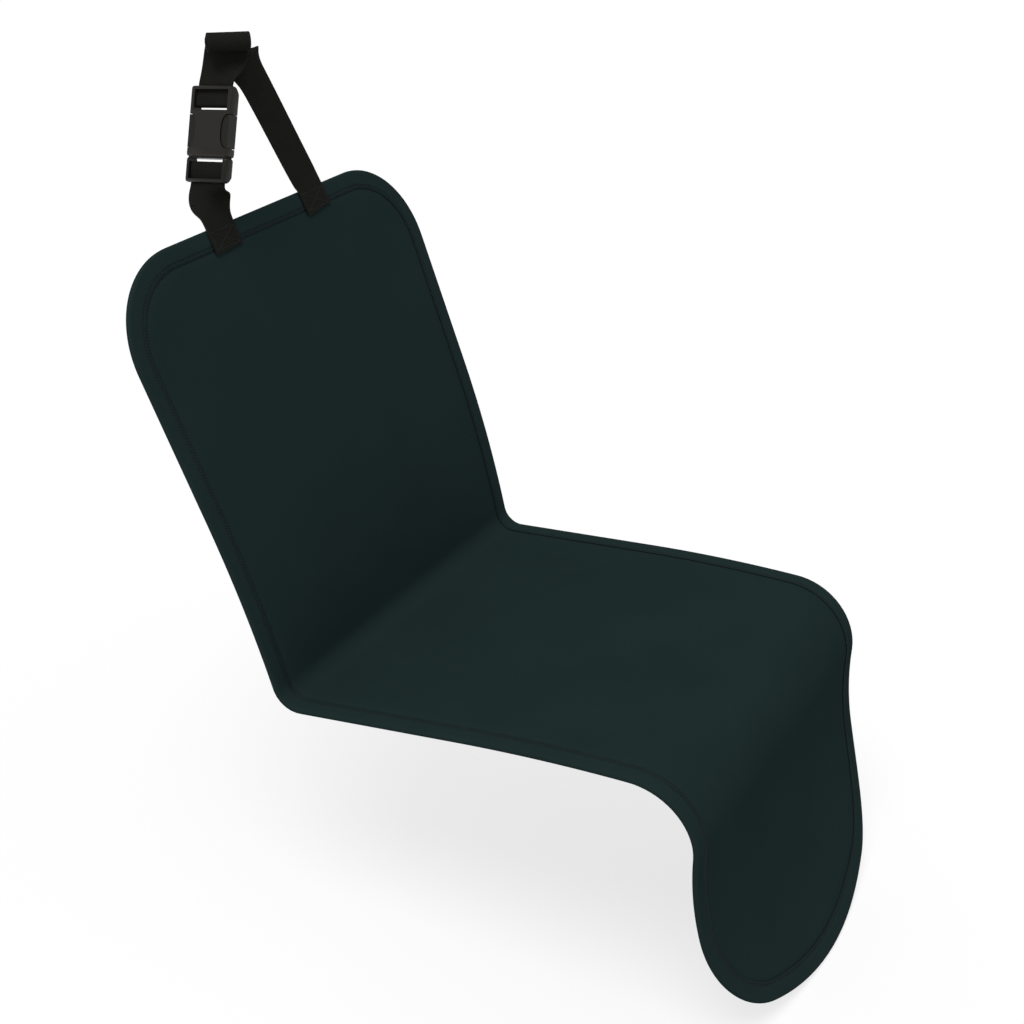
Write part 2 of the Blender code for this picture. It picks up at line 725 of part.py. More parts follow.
def main():
    clear_scene()
    cloth = make_material("cloth", 0.85)
    backing = make_material("backing", 0.90)
    binding = make_material("binding", 0.80)
    webbing = make_material("webbing", 0.75)
    plastic = make_material("buckle", 0.38)
    side = SideShape()
    make_face_panel(side, cloth)
    make_backing_panel(side, backing)
    make_edge_binding(side, binding)
    frame = BuckleFrame(side)
    make_short_strap(side, frame, webbing)
    make_long_strap(side, frame, webbing)
    make_buckle_socket(frame, plastic)
    make_buckle_plug(frame, plastic)


main()
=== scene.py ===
"""Looks of the cover for one car seat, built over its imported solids.

The cloth, tape, webbing and stitches are built here again with finer shapes, in the places that
their solids hold. The two buckle halves are copies of their solids with rounded edges. Metres,
+Z up, the front of the seat towards -Y.
"""

import json
import logging
import math
from dataclasses import dataclass, field
from enum import Enum
from typing import Any

import bmesh
import bpy
from mathutils import Matrix, Vector, noise

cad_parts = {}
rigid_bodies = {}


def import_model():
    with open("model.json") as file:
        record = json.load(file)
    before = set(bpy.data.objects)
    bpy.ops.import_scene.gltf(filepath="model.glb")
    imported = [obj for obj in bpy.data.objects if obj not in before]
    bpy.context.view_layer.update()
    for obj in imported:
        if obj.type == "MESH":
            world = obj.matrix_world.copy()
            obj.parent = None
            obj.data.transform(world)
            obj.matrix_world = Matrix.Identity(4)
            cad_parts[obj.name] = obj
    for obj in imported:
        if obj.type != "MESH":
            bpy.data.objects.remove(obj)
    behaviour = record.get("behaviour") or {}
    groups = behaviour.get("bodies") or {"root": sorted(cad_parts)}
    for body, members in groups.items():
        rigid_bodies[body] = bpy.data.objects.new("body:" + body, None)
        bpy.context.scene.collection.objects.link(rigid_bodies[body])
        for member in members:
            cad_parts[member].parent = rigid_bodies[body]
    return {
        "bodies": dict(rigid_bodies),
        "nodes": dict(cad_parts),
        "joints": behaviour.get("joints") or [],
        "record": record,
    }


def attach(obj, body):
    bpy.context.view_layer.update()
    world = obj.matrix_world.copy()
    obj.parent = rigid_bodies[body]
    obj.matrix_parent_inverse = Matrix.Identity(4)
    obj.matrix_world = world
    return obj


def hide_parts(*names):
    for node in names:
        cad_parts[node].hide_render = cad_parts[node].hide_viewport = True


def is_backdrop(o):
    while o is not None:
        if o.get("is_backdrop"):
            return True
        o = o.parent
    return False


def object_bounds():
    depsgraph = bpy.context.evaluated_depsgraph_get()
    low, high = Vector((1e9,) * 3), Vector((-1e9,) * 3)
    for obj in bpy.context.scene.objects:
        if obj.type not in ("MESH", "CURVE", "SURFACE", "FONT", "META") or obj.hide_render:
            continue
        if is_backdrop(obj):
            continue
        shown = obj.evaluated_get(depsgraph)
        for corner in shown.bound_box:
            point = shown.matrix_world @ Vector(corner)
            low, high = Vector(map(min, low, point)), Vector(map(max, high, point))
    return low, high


LOG = logging.getLogger("seat_cover")
BODY = "root"
FLAT_MAP = "flat_place"
INSET_LAYER = "inset"
WHITE = (1.0, 1.0, 1.0, 1.0)
X_AXIS = Vector((1.0, 0.0, 0.0))
Y_AXIS = Vector((0.0, 1.0, 0.0))
Z_AXIS = Vector((0.0, 0.0, 1.0))
MERGE_DISTANCE = 1e-6
BROAD_DETAIL = 3.0
Number = float | int
Colour = tuple[float, float, float]
Spot = tuple[float, float]
Station = tuple[Vector, Vector]


class Slot(Enum):
    """Material slots of the record."""

    CLOTH = "cloth"
    BACKING = "backing"
    BINDING = "binding"
    WEBBING = "webbing"
    BUCKLE = "buckle"


class Wire:
    """A shader value that takes part in Python expressions."""

    def __init__(self, tree: "ShaderTree", socket: bpy.types.NodeSocket) -> None:
        """Keeps the tree and the socket that the value comes from."""
        self.tree = tree
        self.socket = socket

    def __add__(self, other: "Wire | Number") -> "Wire":
        """Adds a value."""
        return self.tree.maths("ADD", self, other)

    def __radd__(self, other: "Wire | Number") -> "Wire":
        """Adds this value to another."""
        return self.tree.maths("ADD", other, self)

    def __sub__(self, other: "Wire | Number") -> "Wire":
        """Takes a value away."""
        return self.tree.maths("SUBTRACT", self, other)

    def __rsub__(self, other: "Wire | Number") -> "Wire":
        """Takes this value away from another."""
        return self.tree.maths("SUBTRACT", other, self)

    def __mul__(self, other: "Wire | Number") -> "Wire":
        """Multiplies by a value."""
        return self.tree.maths("MULTIPLY", self, other)

    def __rmul__(self, other: "Wire | Number") -> "Wire":
        """Multiplies another value by this one."""
        return self.tree.maths("MULTIPLY", other, self)

    def __abs__(self) -> "Wire":
        """The value without its sign."""
        return self.tree.maths("ABSOLUTE", self)

    def sine(self) -> "Wire":
        """Sine of the value in radians."""
        return self.tree.maths("SINE", self)

    def wave(self, pitch: float) -> "Wire":
        """A sine wave between 0 and 1 over a length, where pitch is one wave in metres."""
        return (self * (2.0 * math.pi / pitch)).sine() * 0.5 + 0.5

    def fade(self, start: float, end: float) -> "Wire":
        """A smooth step.

        Args:
            start: Value at which the result is 0.
            end: Value at which the result is 1.

        Returns:
            The step.
        """
        node = self.tree.node(
            "ShaderNodeMapRange", {"interpolation_type": "SMOOTHSTEP"},
            {"Value": self, "From Min": start, "From Max": end})
        return Wire(self.tree, node.outputs["Result"])


class ShaderTree:
    """The nodes of one material or of the world."""

    def __init__(self, owner: bpy.types.Material | bpy.types.World) -> None:
        """Starts the owner's nodes with its output alone.

        Args:
            owner: The material or world that the nodes belong to.
        """
        self.owner = owner
        owner.use_nodes = True
        self.nodes = owner.node_tree.nodes
        self.links = owner.node_tree.links
        self.nodes.clear()
        is_world = isinstance(owner, bpy.types.World)
        self.output = self.node("ShaderNodeOutputWorld" if is_world else "ShaderNodeOutputMaterial")

    def node(
        self, kind: str, settings: dict[str, Any] | None = None,
        inputs: dict[str | int, Any] | None = None,
    ) -> bpy.types.Node:
        """Adds a node.

        Args:
            kind: Blender's name of the node type.
            settings: Values of the node's own properties, which are set first.
            inputs: Values or wires of its sockets.

        Returns:
            The node.
        """
        made = self.nodes.new(kind)
        for key, value in (settings or {}).items():
            setattr(made, key, value)
        for key, value in (inputs or {}).items():
            if isinstance(value, Wire):
                self.links.new(value.socket, made.inputs[key])
            elif isinstance(value, bpy.types.NodeSocket):
                self.links.new(value, made.inputs[key])
            else:
                made.inputs[key].default_value = value
        return made

    def maths(self, operation: str, *values: "Wire | Number") -> Wire:
        """Adds a Math node over one or two values."""
        made = self.node("ShaderNodeMath", {"operation": operation}, dict(enumerate(values)))
        return Wire(self, made.outputs[0])

    def blend(self, part: Wire, first: Any, second: Any) -> Wire:
        """Mixes two colours.

        Args:
            part: Share of the second colour, from 0 to 1.
            first: A colour or a wire.
            second: A colour or a wire.

        Returns:
            The mixed colour.
        """
        made = self.node(
            "ShaderNodeMix", {"data_type": "RGBA"}, {0: part, 6: first, 7: second})
        return Wire(self, made.outputs[2])

    def grain(self, vector: Wire, scale: float, detail: float = 2.0) -> Wire:
        """Smooth noise around 0.5 at a point.

        Args:
            vector: The point.
            scale: Noise cells in a metre.
            detail: Number of finer layers.

        Returns:
            The noise.
        """
        made = self.node(
            "ShaderNodeTexNoise", None, {"Vector": vector, "Scale": scale, "Detail": detail})
        return Wire(self, made.outputs[0])

    def flat_place(self) -> tuple[Wire, Wire, Wire]:
        """The point on the flat cloth from the UV map in metres.

        Returns:
            The point, its part across and its part along.
        """
        point = Wire(self, self.node("ShaderNodeUVMap", {"uv_map": FLAT_MAP}).outputs["UV"])
        parts = self.node("ShaderNodeSeparateXYZ", None, {0: point})
        return point, Wire(self, parts.outputs[0]), Wire(self, parts.outputs[1])

    def object_place(self) -> Wire:
        """The point in the object's own frame."""
        return Wire(self, self.node("ShaderNodeTexCoord").outputs["Object"])

    def mix(self, part: Any, first: bpy.types.Node, second: bpy.types.Node) -> bpy.types.Node:
        """Mixes two shaders.

        Args:
            part: Share of the second shader, as a wire or a socket.
            first: A shader.
            second: A shader.

        Returns:
            The mixed shader.
        """
        shaders = {1: first.outputs[0], 2: second.outputs[0]}
        return self.node("ShaderNodeMixShader", None, {0: part, **shaders})

    def close(self, shader: bpy.types.Node) -> None:
        """Sends a shader to the output."""
        self.links.new(shader.outputs[0], self.output.inputs["Surface"])

    def surface(
        self, colour: Wire, roughness: Wire | Number, height: Wire, depth: float, gloss: float,
    ) -> bpy.types.Material:
        """Closes the material with one Principled shader.

        Args:
            colour: Base colour.
            roughness: Roughness or its wire.
            height: Relief from 0 to 1.
            depth: Height of the relief in metres.
            gloss: Strength of the reflection, where 0.5 is the usual one.

        Returns:
            The material.
        """
        relief = self.node("ShaderNodeBump", None, {"Height": height, "Distance": depth})
        self.close(self.node("ShaderNodeBsdfPrincipled", None, {
            "Base Color": colour, "Roughness": roughness, "Normal": relief.outputs[0],
            "Specular IOR Level": gloss}))
        return self.owner


@dataclass(frozen=True)
class Finish:
    """A finish of one linear colour, which varies between a darker and a lighter shade of it."""

    name: str
    colour: Colour
    dark: float = 0.80
    light: float = 1.20

    def start(self) -> ShaderTree:
        """Starts the finish's material."""
        return ShaderTree(bpy.data.materials.new(self.name))

    def tint(self, share: float) -> tuple[float, ...]:
        """The colour made darker or lighter by a share, with full alpha."""
        return (*(part * share for part in self.colour), 1.0)

    def shade(self, tree: ShaderTree, part: Wire) -> Wire:
        """The colour between its darker shade, at 0, and its lighter shade, at 1."""
        return tree.blend(part, self.tint(self.dark), self.tint(self.light))


@dataclass(frozen=True)
class ClothFinish(Finish):
    """Smooth dense knit: fine stitches, a soft grain and faint broad shading."""

    knit_pitch: float = 0.0011
    course_share: float = 0.8
    fluff_scale: float = 1400.0
    cloud_scale: float = 9.0
    cloud_shade: float = 0.55
    fluff_shade: float = 0.35
    knit_shade: float = 0.25
    knit_height: float = 0.6
    fluff_height: float = 0.4
    relief: float = 0.00010
    roughness: float = 0.90
    gloss: float = 0.0
    seams: tuple[float, ...] = ()
    # Painted shade in the seam grooves: its dark core, where it fades out, its strength and its darker
    # tint.
    groove_shadow_core: float = 0.00036
    groove_shadow_edge: float = 0.00135
    groove_shadow_share: float = 0.75
    groove_shadow_tint: float = 0.30

    def material(self) -> bpy.types.Material:
        """Builds the material, with painted shade along each seam groove.

        Returns:
            The material.
        """
        tree = self.start()
        point, across, along = tree.flat_place()
        knit = across.wave(self.knit_pitch) * along.wave(self.knit_pitch * self.course_share)
        fluff = tree.grain(point, self.fluff_scale)
        cloud = tree.grain(point, self.cloud_scale, BROAD_DETAIL)
        shade = (cloud - 0.5) * self.cloud_shade + (fluff - 0.5) * self.fluff_shade
        colour = self.shade(tree, shade + (knit - 0.25) * self.knit_shade + 0.5)
        # Painted shade: the colour is darkened along each seam's groove, where shade falls in the
        # recess.
        for seam in self.seams:
            near = 1.0 - abs(across - seam).fade(self.groove_shadow_core, self.groove_shadow_edge)
            colour = tree.blend(near * self.groove_shadow_share, colour, self.tint(self.groove_shadow_tint))
        height = knit * self.knit_height + fluff * self.fluff_height
        return tree.surface(colour, self.roughness, height, self.relief, self.gloss)


@dataclass(frozen=True)
class BackingFinish(Finish):
    """Thin plain cloth under the cover."""

    dark: float = 0.75
    light: float = 1.25
    thread_pitch: float = 0.0009
    cloud_scale: float = 14.0
    cloud_shade: float = 0.6
    weave_shade: float = 0.4
    relief: float = 0.00010
    roughness: float = 0.92
    gloss: float = 0.25

    def material(self) -> bpy.types.Material:
        """Builds the material.

        Returns:
            The material.
        """
        tree = self.start()
        point, across, along = tree.flat_place()
        weave = across.wave(self.thread_pitch) * along.wave(self.thread_pitch)
        cloud = tree.grain(point, self.cloud_scale, BROAD_DETAIL)
        colour = self.shade(tree, cloud * self.cloud_shade + weave * self.weave_shade)
        return tree.surface(colour, self.roughness, weave, self.relief, self.gloss)


@dataclass(frozen=True)
class WebbingFinish(Finish):
    """Ribbed webbing: cross ribs in lengthwise bands, with plain selvages."""

    dark: float = 0.70
    light: float = 1.35
    width: float = 0.050
    rib_pitch: float = 0.0017
    rib_stagger: float = 0.5
    rib_height: float = 0.7
    band_pitch: float = 0.0031
    yarn_height: float = 0.3
    selvage: float = 0.0022
    selvage_fade: float = 1.2
    selvage_height: float = 0.8
    wear_scale: float = 30.0
    weave_shade: float = 0.55
    wear_shade: float = 0.45
    relief: float = 0.00030
    roughness: float = 0.72
    gloss: float = 0.03

    def material(self) -> bpy.types.Material:
        """Builds the material.

        Returns:
            The material.
        """
        tree = self.start()
        point, across, along = tree.flat_place()
        bands = across.wave(self.band_pitch * 2.0)
        ribs = (along + bands * (self.rib_pitch * self.rib_stagger)).wave(self.rib_pitch)
        half = self.width / 2
        inside = 1.0 - abs(across).fade(half - self.selvage * self.selvage_fade, half - self.selvage)
        yarn = across.wave(self.band_pitch)
        weave = (ribs * self.rib_height + yarn * self.yarn_height) * inside
        height = weave + (1.0 - inside) * self.selvage_height
        wear = tree.grain(point, self.wear_scale, BROAD_DETAIL)
        colour = self.shade(tree, height * self.weave_shade + wear * self.wear_shade)
        return tree.surface(colour, self.roughness, height, self.relief, self.gloss)


@dataclass(frozen=True)
class PlasticFinish(Finish):
    """Satin moulded plastic with a fine even grain."""

    dark: float = 0.92
    light: float = 1.08
    roughness: float = 0.36
    rub_roughness: float = 0.10
    grain_scale: float = 2600.0
    rub_scale: float = 60.0
    relief: float = 0.00004
    gloss: float = 0.26

    def material(self) -> bpy.types.Material:
        """Builds the material.

        Returns:
            The material.
        """
        tree = self.start()
        place = tree.object_place()
        grain = tree.grain(place, self.grain_scale)
        rub = tree.grain(place, self.rub_scale, BROAD_DETAIL)
        colour = self.shade(tree, rub)
        roughness = rub * self.rub_roughness + (self.roughness - self.rub_roughness / 2)
        return tree.surface(colour, roughness, grain, self.relief, self.gloss)


@dataclass(frozen=True)
class ThreadFinish(Finish):
    """Twisted sewing thread or small rubber dots: one colour, a little relief."""

    dark: float = 0.85
    light: float = 1.15
    roughness: float = 0.6
    grain_scale: float = 3000.0
    relief: float = 0.00005
    gloss: float = 0.5

    def material(self) -> bpy.types.Material:
        """Builds the material.

        Returns:
            The material.
        """
        tree = self.start()
        grain = tree.grain(tree.object_place(), self.grain_scale)
        colour = self.shade(tree, grain)
        return tree.surface(colour, self.roughness, grain, self.relief, self.gloss)


@dataclass(frozen=True)
class Stretch:
    """One stretch of the side view, with its headings in degrees at both ends.

    The size is the stretch's length or, where the bend is tight, its radius.
    """

    name: str
    size: float
    start: float
    finish: float
    tight: bool = False


@dataclass
class SeatShape:
    """The side view that the flat cut is bent to: straight stretches and arcs."""

    stretches: tuple[Stretch, ...] = (
        Stretch("upper back", 0.300, -65.0, -65.0),
        Stretch("lower back", 0.222, -65.0, -73.0),
        Stretch("crease", 0.030, -73.0, 9.6, tight=True),
        Stretch("rear of the seat", 0.210, 9.6, 9.6),
        Stretch("front of the seat", 0.214, 9.6, 4.0),
        Stretch("front bend", 0.078, 4.0, -89.4, tight=True),
        Stretch("flap", 0.291, -89.4, -48.6),
    )
    datum: str = "rear of the seat"
    underside: float = -0.0031
    straight_turn: float = 1e-9
    probe: float = 1e-4
    lift: float = 0.01
    starts: list[tuple[float, float, float, float, Vector]] = field(default_factory=list)
    length: float = 0.0

    def __post_init__(self) -> None:
        """Works out where each stretch starts, and the shift that puts the origin in its place."""
        at, base = 0.0, Vector((0.0, 0.0))
        for i, stretch in enumerate(self.stretches):
            first, last = math.radians(stretch.start), math.radians(stretch.finish)
            span = stretch.size * abs(last - first) if stretch.tight else stretch.size
            self.starts.append((at, span, first, last, base))
            base = self.spot_in(i, span)[0]
            at += span
        self.length = at
        datum = [stretch.name for stretch in self.stretches].index(self.datum)
        start, span = self.starts[datum][:2]
        self.shift = -self.raised(start + 0.5 * span, self.underside)

    def spot_in(self, i: int, run: float) -> tuple[Vector, float]:
        """A place in one stretch.

        Args:
            i: Number of the stretch.
            run: Length from its start.

        Returns:
            The point and its heading.
        """
        _, span, first, last, base = self.starts[i]
        turn = last - first
        if abs(turn) < self.straight_turn:
            return base + Vector((math.cos(first), math.sin(first))) * run, first
        radius = span / turn
        heading = first + turn * run / span
        move = Vector((math.sin(heading) - math.sin(first), math.cos(first) - math.cos(heading)))
        return base + move * radius, heading

    def raised(self, s: float, out: float) -> Vector:
        """A point of the side view.

        Args:
            s: Length down the cover.
            out: Height above the panel's underside.

        Returns:
            The point, forwards and upwards.
        """
        i = len(self.starts) - 1
        while i > 0 and s < self.starts[i][0]:
            i -= 1
        base, heading = self.spot_in(i, s - self.starts[i][0])
        return base + Vector((-math.sin(heading), math.cos(heading))) * out

    def place(self, x: float, s: float, out: float = 0.0) -> Vector:
        """Takes a point of the flat cut to its place on the seat.

        Args:
            x: Distance across from the middle.
            s: Length down the cover.
            out: Height above the panel's underside.

        Returns:
            The point in the row frame.
        """
        forward, up = self.raised(s, out) + self.shift
        return Vector((x, -forward, up))

    def along(self, s: float) -> Vector:
        """The direction down the cover at length s."""
        return (self.place(0.0, s + self.probe) - self.place(0.0, s - self.probe)).normalized()

    def outwards(self, s: float) -> Vector:
        """The direction out of the upper face at length s."""
        return (self.place(0.0, s, self.lift) - self.place(0.0, s)).normalized()


@dataclass
class FlatCut:
    """The outline of the flat cover."""

    length: float
    top_width: float = 0.590
    bottom_width: float = 0.470
    top_radius: float = 0.118
    bottom_radius: float = 0.160
    crown: float = 0.084
    corner_steps: int = 30
    crown_steps: int = 16

    def end_curve(self, half: float, radius: float, rise: float) -> list[Spot]:
        """One end from its middle to the side: a shallow crown and a round corner.

        Args:
            half: Half the end's width.
            radius: Radius of the corner.
            rise: How far the end's middle stands out, or 0 for a straight end.

        Returns:
            Points from the middle of the end, as (across, in from the end).
        """
        points = []
        centre_x = half - radius
        if rise == 0.0:
            points.append((0.0, 0.0))
            centre_y, start = radius, 0.0
        else:
            big = (half * half + rise * rise) / (2.0 * rise)
            centre_y = big - math.sqrt((big - radius) ** 2 - centre_x ** 2)
            start = math.atan2(centre_x, big - centre_y)
            for i in range(self.crown_steps):
                angle = start * i / self.crown_steps
                points.append((big * math.sin(angle), big - big * math.cos(angle)))
        for i in range(self.corner_steps + 1):
            angle = start + (math.pi / 2 - start) * i / self.corner_steps
            points.append((centre_x + radius * math.sin(angle), centre_y - radius * math.cos(angle)))
        return points

    def outline(self, inset: float) -> list[Spot]:
        """The closed outline.

        Args:
            inset: How far it is moved in from the edge.

        Returns:
            The points (x, s).
        """
        full = self.top_width / 2
        half = full - inset
        top = [(x, s + inset) for x, s in self.end_curve(half, self.top_radius - inset, 0.0)]
        rise = self.crown * (half / full) ** 2
        bottom = self.end_curve(half, self.bottom_radius - inset, rise)
        right = top + [(x, self.length - inset - s) for x, s in reversed(bottom)]
        points = []
        for x, s in right:
            side = full + (self.bottom_width - self.top_width) / 2 * s / self.length - inset
            points.append((x * side / half, s))
        return points + [(-x, s) for x, s in reversed(points[1:-1])]

    def area(self) -> float:
        """The area inside the outline.

        Returns:
            Square metres.
        """
        points = self.outline(0.0)
        total = 0.0
        for (x0, s0), (x1, s1) in zip(points, points[1:] + points[:1]):
            total += x0 * s1 - x1 * s0
        return abs(total) / 2

    def crossings(self, outline: list[Spot], s: float) -> list[float]:
        """Where a line across the cover meets an outline.

        Args:
            outline: Points (x, s).
            s: Length down the cover at which the line lies.

        Returns:
            Distances across, in order.
        """
        return sorted(
            x0 + (x1 - x0) * (s - s0) / (s1 - s0)
            for (x0, s0), (x1, s1) in zip(outline, outline[1:] + outline[:1])
            if (s0 > s) != (s1 > s))

    def spaced(self, inset: float, pitch: float) -> list[Spot]:
        """Points at equal steps along the outline moved in by inset.

        Args:
            inset: Distance in from the edge.
            pitch: Step that the points keep to as nearly as whole steps allow.

        Returns:
            The points (x, s).
        """
        points = [Vector(point) for point in self.outline(inset)]
        points.append(points[0])
        runs = [(b - a).length for a, b in zip(points, points[1:])]
        count = round(sum(runs) / pitch)
        step = sum(runs) / count
        found, i, gone = [], 0, 0.0
        for k in range(count):
            want = k * step
            while want > gone + runs[i]:
                gone += runs[i]
                i += 1
            found.append(tuple(points[i].lerp(points[i + 1], (want - gone) / runs[i])))
        return found


def finished(
    name: str, bm: bmesh.types.BMesh, material: bpy.types.Material,
    sharp: float = 40.0,
) -> bpy.types.Object:
    """Turns a bmesh into a dressed piece that rides on the part.

    Args:
        name: Name of the piece.
        bm: The mesh, which is freed.
        material: Its material.
        sharp: Angle in degrees above which an edge stays sharp.

    Returns:
        The piece.
    """
    mesh = bpy.data.meshes.new(name)
    bm.to_mesh(mesh)
    bm.free()
    mesh.materials.append(material)
    mesh.polygons.foreach_set("use_smooth", [True] * len(mesh.polygons))
    mesh.set_sharp_from_angle(angle=math.radians(sharp))
    obj = bpy.data.objects.new(name, mesh)
    bpy.context.scene.collection.objects.link(obj)
    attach(obj, BODY)
    LOG.info("%s: %d faces", name, len(mesh.polygons))
    return obj


def walls(
    bm: bmesh.types.BMesh, cut: FlatCut, rings: list[Spot], closed: bool,
) -> list[list[bmesh.types.BMVert]]:
    """Walls between outlines that are moved in and raised, ring after ring.

    Args:
        bm: Mesh that takes the walls, with the layer of insets on its vertices.
        cut: The flat cut.
        rings: Inset and height of each ring.
        closed: Whether the last ring joins the first.

    Returns:
        The rings' vertices.
    """
    layer = bm.verts.layers.float.new(INSET_LAYER)
    loops = []
    for inset, out in rings:
        loops.append([bm.verts.new((x, s, out)) for x, s in cut.outline(inset)])
        for vert in loops[-1]:
            vert[layer] = inset
    pairs = list(zip(loops, loops[1:])) + ([(loops[-1], loops[0])] if closed else [])
    for first, second in pairs:
        for a, b, c, d in zip(first, first[1:] + first[:1], second[1:] + second[:1], second):
            bm.faces.new((a, b, c, d))
    return loops


class Scatter:
    """Gathers a small shape that is repeated many times, a short run at a time."""

    def __init__(self, run: int = 40) -> None:
        """Starts with nothing gathered.

        Args:
            run: How many shapes are made before they are moved into the whole.
        """
        self.whole = bmesh.new()
        self.part = bmesh.new()
        self.run = run
        self.count = 0

    def next(self) -> bmesh.types.BMesh:
        """Counts one more shape.

        Returns:
            The mesh that takes it.
        """
        self.count += 1
        if self.count % self.run == 0:
            self.gather()
        return self.part

    def gather(self) -> None:
        """Moves the short run into the whole."""
        mesh = bpy.data.meshes.new("run")
        self.part.to_mesh(mesh)
        self.part.free()
        self.whole.from_mesh(mesh)
        bpy.data.meshes.remove(mesh)
        self.part = bmesh.new()

    def all(self) -> bmesh.types.BMesh:
        """Ends the gathering.

        Returns:
            Everything gathered.
        """
        self.gather()
        self.part.free()
        return self.whole


def cut_rows(bm: bmesh.types.BMesh, normal: Vector, places: list[float]) -> None:
    """Cuts the mesh by parallel planes.

    Args:
        bm: The mesh.
        normal: The planes' normal.
        places: Their distances along it.
    """
    for at in places:
        everything = bm.verts[:] + bm.edges[:] + bm.faces[:]
        bmesh.ops.bisect_plane(
            bm, geom=everything, dist=MERGE_DISTANCE, plane_co=normal * at, plane_no=normal)


def steps(start: float, end: float, step: float) -> list[float]:
    """Equal steps strictly between two limits, as near to step as fits."""
    count = max(1, round((end - start) / step))
    return [start + (end - start) * i / count for i in range(1, count)]


def write_flat_map(bm: bmesh.types.BMesh) -> None:
    """Writes each corner's place on the flat cloth to the UV map.

    Args:
        bm: The flat mesh, before it is bent.
    """
    layer = bm.loops.layers.uv.new(FLAT_MAP)
    for face in bm.faces:
        for loop in face.loops:
            loop[layer].uv = (loop.vert.co.x, loop.vert.co.y)


def add_stitch(
    bm: bmesh.types.BMesh, middle: Vector, run: Vector, out: Vector, length: float, radius: float,
) -> None:
    """Adds one stitch of thread as a slim rounded grain.

    Args:
        bm: Mesh that takes the stitch.
        middle: Its middle.
        run: The direction that it runs in.
        out: The direction out of the cloth.
        length: Its length.
        radius: Half its thickness.
    """
    along = run.normalized()
    side = out.cross(along).normalized()
    turn = Matrix((side, along.cross(side), along)).transposed().to_4x4()
    size = Matrix.Diagonal((radius, radius, length / 2, 1.0))
    bmesh.ops.create_uvsphere(
        bm, u_segments=6, v_segments=4, radius=1.0, matrix=Matrix.Translation(middle) @ turn @ size)


@dataclass(frozen=True)
class Sag:
    """How the padded cloth sinks: broad dips, and ripples that are strongest beside the tape."""

    depth: float = 0.00045
    dips_across: float = 9.0
    dips_along: float = 7.0
    dip_layer: float = 0.3
    dip_middle: float = 0.6
    dip_share: float = 0.6
    ripples: float = 60.0
    ripple_layer: float = 4.1
    ripple_share: float = 0.5
    ripple_calm: float = 0.85

    def at(self, x: float, s: float, lift: float) -> float:
        """The change of height at a point.

        Args:
            x: Distance across from the middle.
            s: Length down the cover.
            lift: How padded the place is, from 0 beside the tape to 1.

        Returns:
            The change in metres.
        """
        dip = noise.noise(Vector((x * self.dips_across, s * self.dips_along, self.dip_layer)))
        ripple = noise.noise(Vector((x * self.ripples, s * self.ripples, self.ripple_layer)))
        ripple *= 1.0 - lift * self.ripple_calm
        sunk = self.depth * lift * (dip - self.dip_middle) * self.dip_share
        return sunk + self.depth * ripple * self.ripple_share


